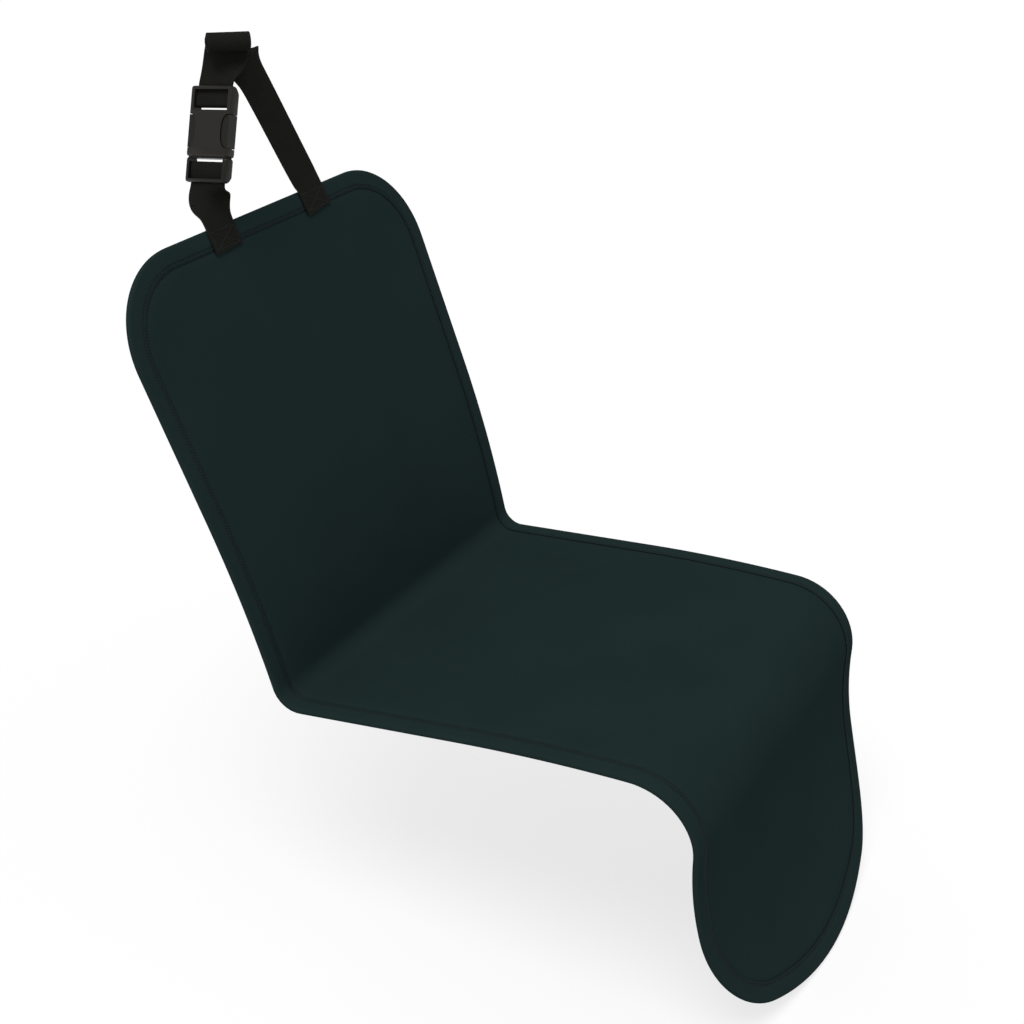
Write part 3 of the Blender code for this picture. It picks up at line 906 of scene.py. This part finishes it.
@dataclass
class PaddedCover:
    """Face panel, backing with its grip dots, bound edge and seam stitches."""

    shape: SeatShape
    cut: FlatCut
    sag: Sag = Sag()
    gap: float = 0.0003
    row_step: float = 0.0075
    column_step: float = 0.0150

    panel_thickness: float = 0.0050
    panel_edge_thickness: float = 0.0034
    panel_fade: float = 0.0110
    panel_fade_parts: tuple[float, ...] = (0.10, 0.25, 0.45, 0.70, 1.0)
    panel_margin_part: float = 0.6

    backing_edge_thickness: float = 0.0012
    backing_fade: float = 0.0050
    backing_bend_run: float = 0.0020
    backing_bend_drop: float = 0.0010

    tape_width: float = 0.0244
    tape_thickness: float = 0.0009
    tape_lip: Spot = (0.0006, 0.0002)
    tape_puff: tuple[Spot, ...] = ((0.0165, 0.0001), (0.0125, 0.00025), (0.0085, 0.0002))
    tape_fold_end: float = 0.0085
    nose: float = 0.0036
    nose_steps: int = 8
    nose_power: float = 0.75

    seams: Spot = (0.0202, 0.0236)
    groove: tuple[Spot, ...] = ((1.0, 0.0), (0.5, 0.75), (0.0, 1.0), (-0.5, 0.75), (-1.0, 0.0))
    groove_depth: float = 0.00055
    groove_half: float = 0.0010
    lower_groove_share: float = 0.7
    lower_round: float = 0.0004

    stitch_pitch: float = 0.0036
    stitch_length: float = 0.0029
    thread_radius: float = 0.00036
    thread_rise: float = 0.75

    dot_pitch: float = 0.0100
    dot_row_share: float = 0.866
    dot_radius: float = 0.0013
    dot_taper: float = 0.6
    dot_height: float = 0.00035
    dot_root: float = 1.4
    dot_middle: float = 0.4
    dot_inset: float = 0.0340

    def bend(self, bm: bmesh.types.BMesh, soft: bool) -> None:
        """Bends the flat mesh to the seat.

        Args:
            bm: The flat mesh, with x across, y down the cover and z upwards.
            soft: Whether the cloth sinks a little between its seams.
        """
        write_flat_map(bm)
        low, rise = self.panel_edge_thickness, self.panel_thickness - self.panel_edge_thickness
        for vert in bm.verts:
            x, s, out = vert.co
            if soft and out > low + MERGE_DISTANCE:
                out += self.sag.at(x, s, (out - low) / rise)
            vert.co = self.shape.place(x, s, out)

    def layered(self, name: str, rings: list[Spot], columns: bool) -> bmesh.types.BMesh:
        """A flat solid from its lower face to its upper face, cut into rows.

        Args:
            name: Name for the log.
            rings: Inset and height of each ring, from the lower face to the upper.
            columns: Whether the faces are also cut lengthwise.

        Returns:
            The flat mesh.
        """
        bm = bmesh.new()
        loops = walls(bm, self.cut, rings, False)
        bm.faces.new(reversed(loops[0]))
        bm.faces.new(loops[-1])
        cut_rows(bm, Y_AXIS, steps(0.0, self.cut.length, self.row_step))
        if columns:
            half = self.cut.top_width / 2
            cut_rows(bm, X_AXIS, steps(-half, half, self.column_step))
        bmesh.ops.recalc_face_normals(bm, faces=bm.faces)
        LOG.info("%s cut into %d faces", name, len(bm.faces))
        return bm

    def build_face(self, material: bpy.types.Material) -> bpy.types.Object:
        """The padded face panel, which rises out of the tape's inner edge.

        Args:
            material: The cloth's material.

        Returns:
            The piece.
        """
        inset = self.gap + self.tape_thickness
        seam = self.tape_width + self.gap
        low, rise = self.panel_edge_thickness, self.panel_thickness - self.panel_edge_thickness
        rings = [(inset, 0.0), (inset, low), (seam * self.panel_margin_part, low), (seam, low)]
        for part in self.panel_fade_parts:
            rings.append((seam + self.panel_fade * part, low + rise * math.sin(part * math.pi / 2)))
        bm = self.layered("face panel", rings, True)
        self.bend(bm, True)
        return finished("face_cloth", bm, material)

    def build_backing(self, material: bpy.types.Material) -> bpy.types.Object:
        """The backing, thin under the tape and proud of it inside.

        Args:
            material: The backing's material.

        Returns:
            The piece.
        """
        inset = self.gap + self.tape_thickness
        seam = self.tape_width + self.gap
        edge = -self.gap - self.backing_edge_thickness
        rings = [
            (seam + self.backing_fade, self.shape.underside),
            (seam + self.backing_bend_run, edge - self.backing_bend_drop), (seam, edge),
            (inset, edge), (inset, -self.gap),
        ]
        bm = self.layered("backing", rings, False)
        self.bend(bm, False)
        return finished("backing_cloth", bm, material)

    def build_dots(self, material: bpy.types.Material) -> bpy.types.Object:
        """Small flat rubber dots in staggered rows under the backing.

        Args:
            material: The rubber's material.

        Returns:
            The piece.
        """
        dots = Scatter()
        outline = self.cut.outline(self.dot_inset)
        rows = steps(0.0, self.cut.length, self.dot_pitch * self.dot_row_share)
        for k, s in enumerate(rows):
            crossings = self.cut.crossings(outline, s)
            if len(crossings) < 2:
                continue
            shift = self.dot_pitch * 0.5 if k % 2 else 0.0
            first = math.ceil((crossings[0] - shift) / self.dot_pitch)
            last = math.floor((crossings[-1] - shift) / self.dot_pitch)
            out = -self.shape.outwards(s)
            turn = out.to_track_quat("Z", "X").to_matrix().to_4x4()
            for i in range(first, last + 1):
                base = self.shape.place(i * self.dot_pitch + shift, s, self.shape.underside)
                middle = base + out * self.dot_height * self.dot_middle
                bmesh.ops.create_cone(
                    dots.next(), cap_ends=True, segments=8, radius1=self.dot_radius,
                    radius2=self.dot_radius * self.dot_taper, depth=self.dot_height * self.dot_root,
                    matrix=Matrix.Translation(middle) @ turn)
        return finished("grip_dots", dots.all(), material, 60.0)

    def tape_section(self) -> list[Spot]:
        """The folded tape's closed section, with its two seam grooves.

        Returns:
            The points (inset, height).
        """
        thick, wide, half_groove = self.tape_thickness, self.tape_width, self.groove_half
        inner_low = -2 * self.gap - self.backing_edge_thickness
        inner_high = self.panel_edge_thickness + self.gap
        low, high = inner_low - thick, inner_high + thick
        long_lip, short_lip = self.tape_lip
        section = [(wide - short_lip, high - long_lip), (wide - long_lip, high - short_lip)]
        for seam in reversed(self.seams):
            for part, depth in self.groove:
                section.append((seam + part * half_groove, high - depth * self.groove_depth))
        section += [(inset, high + rise) for inset, rise in self.tape_puff]
        section += self.tape_nose(low, high)
        seam = self.seams[0]
        section += [
            (self.tape_fold_end, low), (seam - half_groove, low),
            (seam, low + self.groove_depth * self.lower_groove_share), (seam + half_groove, low),
            (wide - self.lower_round, low), (wide, low + self.lower_round),
            (wide, inner_low), (thick, inner_low), (thick, inner_high), (wide, inner_high),
        ]
        return section

    def tape_nose(self, low: float, high: float) -> list[Spot]:
        """The tape's round fold at the edge of the cover.

        Args:
            low: Height of its lower side.
            high: Height of its upper side.

        Returns:
            The points (inset, height), from the upper side to the lower.
        """
        middle, half = (low + high) / 2, (high - low) / 2
        points = []
        for i in range(self.nose_steps + 1):
            angle = math.pi / 2 - math.pi * i / self.nose_steps
            reach = math.copysign(abs(math.sin(angle)) ** self.nose_power, math.sin(angle))
            inset = self.nose * (1.0 - math.cos(angle) ** self.nose_power)
            points.append((inset, middle + half * reach))
        return points

    def build_tape(self, material: bpy.types.Material) -> bpy.types.Object:
        """The binding tape, carried along the edge all round.

        Args:
            material: The tape's material.

        Returns:
            The piece.
        """
        bm = bmesh.new()
        walls(bm, self.cut, self.tape_section(), True)
        cut_rows(bm, Y_AXIS, steps(0.0, self.cut.length, self.row_step))
        bmesh.ops.recalc_face_normals(bm, faces=bm.faces)
        layer = bm.loops.layers.uv.new(FLAT_MAP)
        insets = bm.verts.layers.float[INSET_LAYER]
        for face in bm.faces:
            for loop in face.loops:
                loop[layer].uv = (loop.vert[insets], loop.vert.co.y + loop.vert.co.x)
        for vert in bm.verts:
            vert.co = self.shape.place(*vert.co)
        return finished("binding_tape", bm, material, 50.0)

    def build_stitches(self, material: bpy.types.Material) -> bpy.types.Object:
        """Both rows of seam stitches, lying in their grooves.

        Args:
            material: The thread's material.

        Returns:
            The piece.
        """
        stitches = Scatter()
        high = self.panel_edge_thickness + self.gap + self.tape_thickness
        height = high - self.groove_depth + self.thread_radius * self.thread_rise
        for seam in self.seams:
            spots = self.cut.spaced(seam, self.stitch_pitch)
            for (x, s), (next_x, next_s) in zip(spots, spots[1:] + spots[:1]):
                middle = self.shape.place(x, s, height)
                run = self.shape.place(next_x, next_s, height) - middle
                add_stitch(
                    stitches.next(), middle, run, self.shape.outwards(s), self.stitch_length,
                    self.thread_radius)
        return finished("seam_stitches", stitches.all(), material, 80.0)


def bezier(p0: Vector, p1: Vector, p2: Vector, p3: Vector, count: int) -> list[Vector]:
    """Points on a cubic curve, without its first point.

    Args:
        p0: Start of the curve.
        p1: Its first handle.
        p2: Its second handle.
        p3: End of the curve.
        count: Number of points.

    Returns:
        The points.
    """
    points = []
    for i in range(1, count + 1):
        t = i / count
        u = 1.0 - t
        points.append(p0 * u ** 3 + p1 * 3 * u * u * t + p2 * 3 * u * t * t + p3 * t ** 3)
    return points


def turn_across(first: Vector, second: Vector, count: int, start: float = 0.0) -> list[Vector]:
    """Directions across a strap that turn smoothly from one to the other.

    Args:
        first: Direction before the first station.
        second: Direction at the last station.
        count: Number of stations.
        start: Share of the way before the turn begins.

    Returns:
        The directions.
    """
    turns = []
    for i in range(1, count + 1):
        part = max(0.0, i / count - start) / (1.0 - start)
        turns.append(first.slerp(second, part * part * (3.0 - 2.0 * part)))
    return turns


def eased_route(route: list[Station], rounds: int) -> list[Station]:
    """Evens a strap's route out, as stiff webbing does, with its ends kept.

    Args:
        route: Centres and directions across.
        rounds: How many times each station moves towards its neighbours.

    Returns:
        The evened route.
    """
    for _ in range(rounds):
        inner = []
        for (c0, a0), (c1, a1), (c2, a2) in zip(route, route[1:], route[2:]):
            inner.append(((c0 + c1 * 2 + c2) / 4, (a0 + a1 * 2 + a2).normalized()))
        route = [route[0], *inner, route[-1]]
    return route


def point_field(x: float, y: float, z: float) -> Any:
    """A dataclass field that holds a vector."""
    return field(default_factory=lambda: Vector((x, y, z)))


def direction_field(x: float, y: float, z: float) -> Any:
    """A dataclass field that holds a vector of length 1."""
    return field(default_factory=lambda: Vector((x, y, z)).normalized())


@dataclass
class BucklePlace:
    """Where the buckle stands: its own axes and its middle, from the middle of the top edge."""

    top: Vector
    middle: Vector = point_field(-0.0620, 0.0175, 0.1020)
    up: Vector = direction_field(0.374, 0.135, 0.918)
    aim: Vector = point_field(-0.029, -0.987, 0.157)

    def __post_init__(self) -> None:
        """Squares the axes up."""
        self.across = (self.aim - self.up * self.aim.dot(self.up)).normalized()
        axes = Matrix((self.across, self.up.cross(self.across), self.up))
        self.matrix = axes.transposed().to_4x4()
        self.matrix.translation = self.top + self.middle

    def point(self, y: float, z: float) -> Vector:
        """A point of the buckle's middle plane, front to back and along it."""
        return self.matrix @ Vector((0.0, y, z))


@dataclass(frozen=True)
class BuckleEnd:
    """Sizes of one end of the buckle: its slot with the bar that the webbing goes round."""

    half_length: float = 0.056
    slot_inner: float = 0.0280
    wrap_gap: float = 0.0030
    bar_height: float = 0.0095
    bar_radius: float = 0.0020
    bar_clearance: float = 0.00035
    frame_exit: float = 0.0020
    rail_run: float = 0.0065
    wrap_steps: int = 16

    def wrap(self, thickness: float, layer: float) -> list[Spot]:
        """The way behind the rail, round the bar and out again, from back to front.

        Args:
            thickness: Thickness of the webbing.
            layer: Half the distance between its two layers.

        Returns:
            The points of the webbing's middle (front to back, along the buckle).
        """
        radius = self.bar_radius + self.bar_clearance + thickness / 2
        inner = self.slot_inner + self.wrap_gap + thickness + self.bar_clearance
        turn_z = inner + self.bar_radius
        leave_z = inner + self.bar_height - self.bar_radius
        edge_z = self.half_length + self.frame_exit
        route = [(layer, edge_z), (layer, edge_z - self.rail_run), (radius, leave_z)]
        for i in range(self.wrap_steps + 1):
            angle = math.pi * i / self.wrap_steps
            route.append((radius * math.cos(angle), turn_z - radius * math.sin(angle)))
        return route + [(-radius, leave_z), (-layer, edge_z - self.rail_run), (-layer, edge_z)]


@dataclass
class StrapPair:
    """The short and the long strap, with the stitches that hold their laps.

    Handles are the lengths of the curves' handles. The crest and the tail's top are measured from
    the middle of the cover's top edge.
    """

    shape: SeatShape
    place: BucklePlace
    end: BuckleEnd = BuckleEnd()
    width: float = 0.050
    thickness: float = 0.0020
    pitch: float = 0.0028
    selvage_round: float = 0.0011
    selvage_steps: int = 6
    middle_thinning: float = 0.92
    middle_parts: tuple[float, ...] = (0.90, 0.5, 0.0, -0.5, -0.90)
    curve_steps: int = 42

    lap: float = 0.0300
    lap_steps: int = 8
    overhang: float = 0.0080
    lap_height: float = 0.0063
    short_x: float = -0.0845
    short_lean: float = 0.05
    long_x: float = 0.0965
    long_lean: float = 0.12

    short_rise_lean: float = 0.15
    short_rise_handle: float = 0.0160
    short_arrive_handle: float = 0.0120
    short_rounds: int = 24
    fold_back: float = 0.006

    crest: Vector = point_field(0.0, 0.0280, 0.1875)
    crest_heading: Vector = direction_field(-0.94, -0.34, 0.0)
    crest_across: Vector = direction_field(0.34, -0.94, 0.0)
    leg_lean: float = -0.40
    leg_handle: float = 0.0200
    leg_twist_start: float = 0.70
    crest_arrive_handle: float = 0.0180
    crest_leave_handle: float = 0.0100
    drop_handle: float = 0.0180
    long_rounds: int = 12

    tail_top: Vector = point_field(-0.0184, 0.0237, 0.2030)
    tail_across: Vector = direction_field(0.74, -0.67, 0.0)
    tail_start_handle: float = 0.0180
    tail_side_shift: float = 0.0025
    tail_top_handle: float = 0.0200
    tail_outward_ease: float = 0.0050
    roll_turns: float = 2.25
    roll_radius: float = 0.0112
    roll_pitch: float = 0.0026
    roll_drift: float = 0.0009
    roll_step: float = 9.0

    stitch_pitch: float = 0.0034
    stitch_length: float = 0.0027
    stitch_margin: float = 0.0045
    stitch_end_margin: float = 0.0040
    thread_radius: float = 0.00036
    thread_rise: float = 0.3

    def lap_stations(self, x: float, lean: float) -> list[Station]:
        """The sewn end of a strap, from its cut end to just past the top edge.

        Args:
            x: Distance across from the middle.
            lean: Sideways drift down the cover.

        Returns:
            The stations.
        """
        stations = []
        for i in range(self.lap_steps + 1):
            s = self.lap - (self.lap + self.overhang) * i / self.lap_steps
            stations.append((self.shape.place(x + lean * s, s, self.lap_height), X_AXIS))
        return stations

    def leave(self, lean: float) -> Vector:
        """The direction in which a strap leaves the top edge."""
        return (X_AXIS * lean - self.shape.along(self.lap)).normalized()

    def through(self, half: int) -> list[Station]:
        """The way through a slot of the buckle, from back to front.

        Args:
            half: 1 for the upper half of the buckle and -1 for the lower.

        Returns:
            The stations.
        """
        route = self.end.wrap(self.thickness, self.pitch / 2)
        return [(self.place.point(y, half * z), self.place.across) for y, z in route]

    def short_route(self) -> list[Station]:
        """From the lap round the lower bar, folded back behind itself.

        Returns:
            The stations.
        """
        stations = self.lap_stations(self.short_x, self.short_lean)
        start = stations[-1][0]
        through = list(reversed(self.through(-1)))
        arrive = through[0][0]
        rise = bezier(
            start, start + self.leave(self.short_rise_lean) * self.short_rise_handle,
            arrive - self.place.up * self.short_arrive_handle, arrive, self.curve_steps)
        turns = turn_across(X_AXIS, self.place.across, self.curve_steps)
        stations = eased_route(stations + list(zip(rise, turns)), self.short_rounds) + through[1:]
        for i in range(len(rise) - 2, 0, -1):
            along = (rise[i + 1] - rise[i - 1]).normalized()
            point = rise[i] + along.cross(turns[i]).normalized() * self.pitch
            stations.append((point, turns[i]))
            if (point - arrive).length > self.fold_back:
                break
        return stations

    def long_route(self) -> list[Station]:
        """From the lap over the crest, down round the upper bar and up as the rolled tail.

        Returns:
            The stations.
        """
        crest = self.place.top + self.crest
        stations = self.lap_stations(self.long_x, self.long_lean)
        start = stations[-1][0]
        leg = bezier(
            start, start + self.leave(self.leg_lean) * self.leg_handle,
            crest - self.crest_heading * self.crest_arrive_handle, crest, self.curve_steps * 2)
        turns = turn_across(X_AXIS, self.crest_across, len(leg), self.leg_twist_start)
        stations += list(zip(leg, turns))
        through = self.through(1)
        arrive = through[0][0]
        drop = bezier(
            crest, crest + self.crest_heading * self.crest_leave_handle,
            arrive + self.place.up * self.drop_handle, arrive, self.curve_steps)
        stations += list(zip(drop, turn_across(self.crest_across, self.place.across, len(drop))))
        stations = eased_route(stations, self.long_rounds)
        stations += through[1:]
        return stations + self.tail_route(through[-1][0])

    def tail_route(self, start: Vector) -> list[Station]:
        """The free tail in front of the loop, with its end rolled up.

        Args:
            start: Where the tail leaves the buckle.

        Returns:
            The stations.
        """
        top = self.place.top + self.tail_top
        across = self.tail_across
        outward = across.cross(Z_AXIS).normalized()
        side_shift = self.place.across * self.tail_side_shift
        rise = bezier(
            start, start + self.place.up * self.tail_start_handle + side_shift,
            top - Z_AXIS * self.tail_top_handle + outward * self.tail_outward_ease, top,
            self.curve_steps)
        stations = list(zip(rise, turn_across(self.place.across, across, len(rise))))
        centre, step = top + outward * self.roll_radius, math.radians(self.roll_step)
        for i in range(1, round(self.roll_turns * 2 * math.pi / step) + 1):
            angle = step * i
            radius = self.roll_radius - self.roll_pitch * angle / (2 * math.pi)
            point = centre - outward * radius * math.cos(angle) + Z_AXIS * radius * math.sin(angle)
            point -= across * self.roll_drift * angle / (2 * math.pi)
            stations.append((point, across))
        return stations

    def build_strap(
        self, name: str, route: list[Station], material: bpy.types.Material,
    ) -> bpy.types.Object:
        """Carries the webbing's section along a route, one extrusion for each station.

        Args:
            name: Name of the piece.
            route: Centres and directions across.
            material: The webbing's material.

        Returns:
            The strap.
        """
        bm = bmesh.new()
        layer = bm.loops.layers.uv.new(FLAT_MAP)
        section = self.webbing_section()
        frames = [self.frame_at(route, i) for i in range(len(route))]
        verts = [bm.verts.new(frames[0] @ Vector((a, b, 0.0))) for a, b in section]
        face = bm.faces.new(verts)
        run = 0.0
        spots = {vert: (point[0], run) for vert, point in zip(verts, section)}
        for before, after in zip(frames, frames[1:]):
            grown = bmesh.ops.extrude_face_region(bm, geom=[face])["geom"]
            moved = [item for item in grown if isinstance(item, bmesh.types.BMVert)]
            face = next(item for item in grown if isinstance(item, bmesh.types.BMFace))
            bmesh.ops.transform(bm, matrix=after @ before.inverted(), verts=moved)
            run += (after.translation - before.translation).length
            back = after.inverted()
            spots.update({vert: ((back @ vert.co).x, run) for vert in moved})
        for side in bm.faces:
            for loop in side.loops:
                loop[layer].uv = spots[loop.vert]
        bmesh.ops.recalc_face_normals(bm, faces=bm.faces)
        return finished(name, bm, material, 45.0)

    def webbing_section(self) -> list[Spot]:
        """The webbing's section: flat, a little thinner beside its round selvages.

        Returns:
            The points (across, out of the webbing).
        """
        half, thick, edge = self.width / 2, self.thickness / 2, self.selvage_round
        right = []
        for i in range(self.selvage_steps + 1):
            angle = -math.pi / 2 + math.pi * i / self.selvage_steps
            right.append((half - edge + edge * math.cos(angle), thick * math.sin(angle)))
        upper = [(half * part, thick * self.middle_thinning) for part in self.middle_parts]
        left = [(-a, -b) for a, b in right]
        lower = [(-a, -b) for a, b in upper]
        return right + upper + left + lower

    def frame_at(self, route: list[Station], i: int) -> Matrix:
        """The strap's axes at one station.

        Args:
            route: Centres and directions across.
            i: Number of the station.

        Returns:
            The axes across, out of the webbing and along it, at the station's centre.
        """
        centre, across = route[i]
        before, after = route[max(i - 1, 0)][0], route[min(i + 1, len(route) - 1)][0]
        along = (after - before).normalized()
        across = (across - along * across.dot(along)).normalized()
        frame = Matrix((across, along.cross(across), along)).transposed().to_4x4()
        frame.translation = centre
        return frame

    def build_lap_stitches(self, material: bpy.types.Material) -> bpy.types.Object:
        """A sewn box with a cross on each lap.

        Args:
            material: The thread's material.

        Returns:
            The piece.
        """
        bm = bmesh.new()
        height = self.lap_height + self.thickness / 2 + self.thread_radius * self.thread_rise
        half, low = self.width / 2 - self.stitch_margin, self.stitch_margin
        high = self.lap - self.stitch_end_margin
        corners = [(-half, low), (half, low), (half, high), (-half, high)]
        box = list(zip(corners, corners[1:] + corners[:1]))
        cross = [(corners[0], corners[2]), (corners[1], corners[3])]
        for x, lean in ((self.short_x, self.short_lean), (self.long_x, self.long_lean)):
            for (a0, s0), (a1, s1) in box + cross:
                run = self.shape.place(a1, s1, height) - self.shape.place(a0, s0, height)
                count = round(math.hypot(a1 - a0, s1 - s0) / self.stitch_pitch)
                for k in range(count):
                    part = (k + 0.5) / count
                    s = s0 + (s1 - s0) * part
                    a = a0 + (a1 - a0) * part
                    middle = self.shape.place(x + lean * s + a, s, height)
                    out = self.shape.outwards(s)
                    add_stitch(bm, middle, run, out, self.stitch_length, self.thread_radius)
        return finished("lap_stitches", bm, material, 80.0)


@dataclass
class BuckleDress:
    """The two moulded halves, with rounded edges. Angles are in degrees."""

    nodes: dict[str, bpy.types.Object]
    edge_round: float = 0.00080
    segments: int = 3
    flat_below: float = 1.0
    round_above: float = 30.0

    def build(self, node: str, name: str, material: bpy.types.Material) -> bpy.types.Object:
        """Copies one half's solid and rounds its edges.

        Args:
            node: Name of the solid.
            name: Name of the piece.
            material: Its plastic.

        Returns:
            The dressed half.
        """
        bm = bmesh.new()
        bm.from_mesh(self.nodes[node].data)
        bmesh.ops.remove_doubles(bm, verts=bm.verts, dist=MERGE_DISTANCE)
        bmesh.ops.dissolve_limit(
            bm, angle_limit=math.radians(self.flat_below), verts=bm.verts, edges=bm.edges)
        obj = finished(name, bm, material)
        rounding = obj.modifiers.new("edge_round", "BEVEL")
        rounding.width = self.edge_round
        rounding.segments = self.segments
        rounding.limit_method = "ANGLE"
        rounding.angle_limit = math.radians(self.round_above)
        rounding.harden_normals = True
        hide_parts(node)
        return obj


@dataclass
class Studio:
    """White floor, soft daylight and the camera. The camera's angles are in radians."""

    lowest: float
    position: tuple[float, float, float] = (-1.559243, -0.870475, 1.137219)
    yaw: float = 1.0740207
    pitch: float = -0.4986081
    roll: float = 0.0408603
    lens: float = 58.03
    sensor: float = 36.0
    floor_size: float = 40.0
    floor_gap: float = 0.0005
    floor_white: float = 0.75
    floor_glow: float = 1.19
    glow_share: float = 0.62
    sky: float = 0.50
    key: float = 1.55
    key_angle: float = 32.0
    key_from: tuple[float, float, float] = (-0.34, 0.02, 0.94)

    def floor_material(self) -> bpy.types.Material:
        """White that also glows where the camera sees it, so that its shadow stays light.

        Returns:
            The material.
        """
        tree = ShaderTree(bpy.data.materials.new("floor_white"))
        rays = tree.node("ShaderNodeLightPath")
        camera, glossy, through = (
            Wire(tree, rays.outputs[f"Is {kind} Ray"]) for kind in ("Camera", "Glossy", "Transmission"))
        seen = tree.maths("MINIMUM", camera + glossy + through, 1.0)
        white = (self.floor_white, self.floor_white, self.floor_white, 1.0)
        matt = tree.node("ShaderNodeBsdfDiffuse", None, {"Color": white})
        glow = tree.node(
            "ShaderNodeEmission", None, {"Color": WHITE, "Strength": self.floor_glow})
        tree.close(tree.mix(seen * self.glow_share, matt, glow))
        return tree.owner

    def build_floor(self) -> None:
        """A white floor that shows the soft shadow of the cover."""
        bm = bmesh.new()
        bmesh.ops.create_grid(bm, x_segments=1, y_segments=1, size=self.floor_size / 2)
        floor_z = self.lowest - self.floor_gap
        bmesh.ops.translate(bm, verts=bm.verts, vec=(0.0, 0.0, floor_z))
        mesh = bpy.data.meshes.new("floor")
        bm.to_mesh(mesh)
        bm.free()
        floor = bpy.data.objects.new("floor", mesh)
        bpy.context.scene.collection.objects.link(floor)
        mesh.materials.append(self.floor_material())
        floor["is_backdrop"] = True

    def build_light(self) -> None:
        """An even pale sky, white where the camera sees it, and one broad soft sun."""
        world = bpy.data.worlds.new("sky")
        bpy.context.scene.world = world
        tree = ShaderTree(world)
        rays = tree.node("ShaderNodeLightPath")
        sky = tree.node("ShaderNodeBackground", None, {"Color": WHITE, "Strength": self.sky})
        white = tree.node("ShaderNodeBackground", None, {"Color": WHITE})
        tree.close(tree.mix(rays.outputs["Is Camera Ray"], sky, white))
        lamp = bpy.data.lights.new("key", "SUN")
        lamp.energy = self.key
        lamp.angle = math.radians(self.key_angle)
        sun = bpy.data.objects.new("key", lamp)
        sun.rotation_euler = Vector(self.key_from).to_track_quat("Z", "Y").to_euler()
        bpy.context.scene.collection.objects.link(sun)
        sun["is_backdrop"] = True

    def build_camera(self) -> None:
        """The camera at the photograph's viewpoint."""
        view = Vector((
            math.cos(self.pitch) * math.sin(self.yaw),
            math.cos(self.pitch) * math.cos(self.yaw),
            math.sin(self.pitch)))
        right = view.cross(Z_AXIS).normalized()
        up = right.cross(view)
        turned = right * math.cos(self.roll) + up * math.sin(self.roll)
        raised = up * math.cos(self.roll) - right * math.sin(self.roll)
        data = bpy.data.cameras.new("camera")
        data.lens = self.lens
        data.sensor_width = self.sensor
        camera = bpy.data.objects.new("camera", data)
        matrix = Matrix((turned, raised, -view)).transposed().to_4x4()
        matrix.translation = Vector(self.position)
        camera.matrix_world = matrix
        bpy.context.scene.collection.objects.link(camera)
        bpy.context.scene.camera = camera

    def build(self) -> None:
        """Sets the whole studio up."""
        self.build_floor()
        self.build_light()
        self.build_camera()
        bpy.context.scene.view_settings.view_transform = "Standard"


def main() -> None:
    """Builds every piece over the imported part, then the studio."""
    logging.basicConfig(level=logging.INFO, format="%(asctime)s %(name)s: %(message)s")
    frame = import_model()
    cad_box = [list(corner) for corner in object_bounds()]

    shape = SeatShape()
    cut = FlatCut(shape.length)
    cover = PaddedCover(shape, cut)
    straps = StrapPair(shape, BucklePlace(shape.place(0.0, 0.0)))
    buckle = BuckleDress(frame["nodes"])

    cloth = ClothFinish("cloth", (0.0152, 0.0275, 0.0276)).material()
    # The binding's colour carries painted shade along its two seam grooves.
    tape = ClothFinish("binding", (0.0160, 0.0288, 0.0290), seams=cover.seams).material()
    backing = BackingFinish("backing", (0.020, 0.021, 0.022)).material()
    rubber = ThreadFinish("grip_rubber", (0.012, 0.012, 0.013), roughness=0.5).material()
    thread = ThreadFinish("seam_thread", (0.0125, 0.020, 0.0205)).material()
    webbing = WebbingFinish("webbing", (0.0130, 0.0129, 0.0117), width=straps.width).material()
    lap_thread = ThreadFinish("lap_thread", (0.0078, 0.0078, 0.0070)).material()
    plastic = PlasticFinish("buckle", (0.0190, 0.0168, 0.0132)).material()
    plug_plastic = PlasticFinish("buckle_plug", (0.0120, 0.0110, 0.0095), roughness=0.32).material()

    face = cover.build_face(cloth)
    lining = cover.build_backing(backing)
    dots = cover.build_dots(rubber)
    edge = cover.build_tape(tape)
    seams = cover.build_stitches(thread)
    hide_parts("face_panel")
    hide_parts("backing_panel")
    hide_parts("edge_binding")
    cut.area()
    cut.area()

    short = straps.build_strap("short_webbing", straps.short_route(), webbing)
    long = straps.build_strap("long_webbing", straps.long_route(), webbing)
    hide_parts("short_strap")
    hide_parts("long_strap")
    straps.build_lap_stitches(lap_thread)

    buckle.build("buckle_socket", "socket_half", plastic)
    buckle.build("buckle_plug", "plug_half", plug_plastic)

    boxes = {"cad": cad_box, "visual": [list(corner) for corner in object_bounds()]}
    Studio(lowest=boxes["visual"][0][2]).build()
    LOG.info("boxes: %s", boxes)


if __name__ == "__main__":
    main()
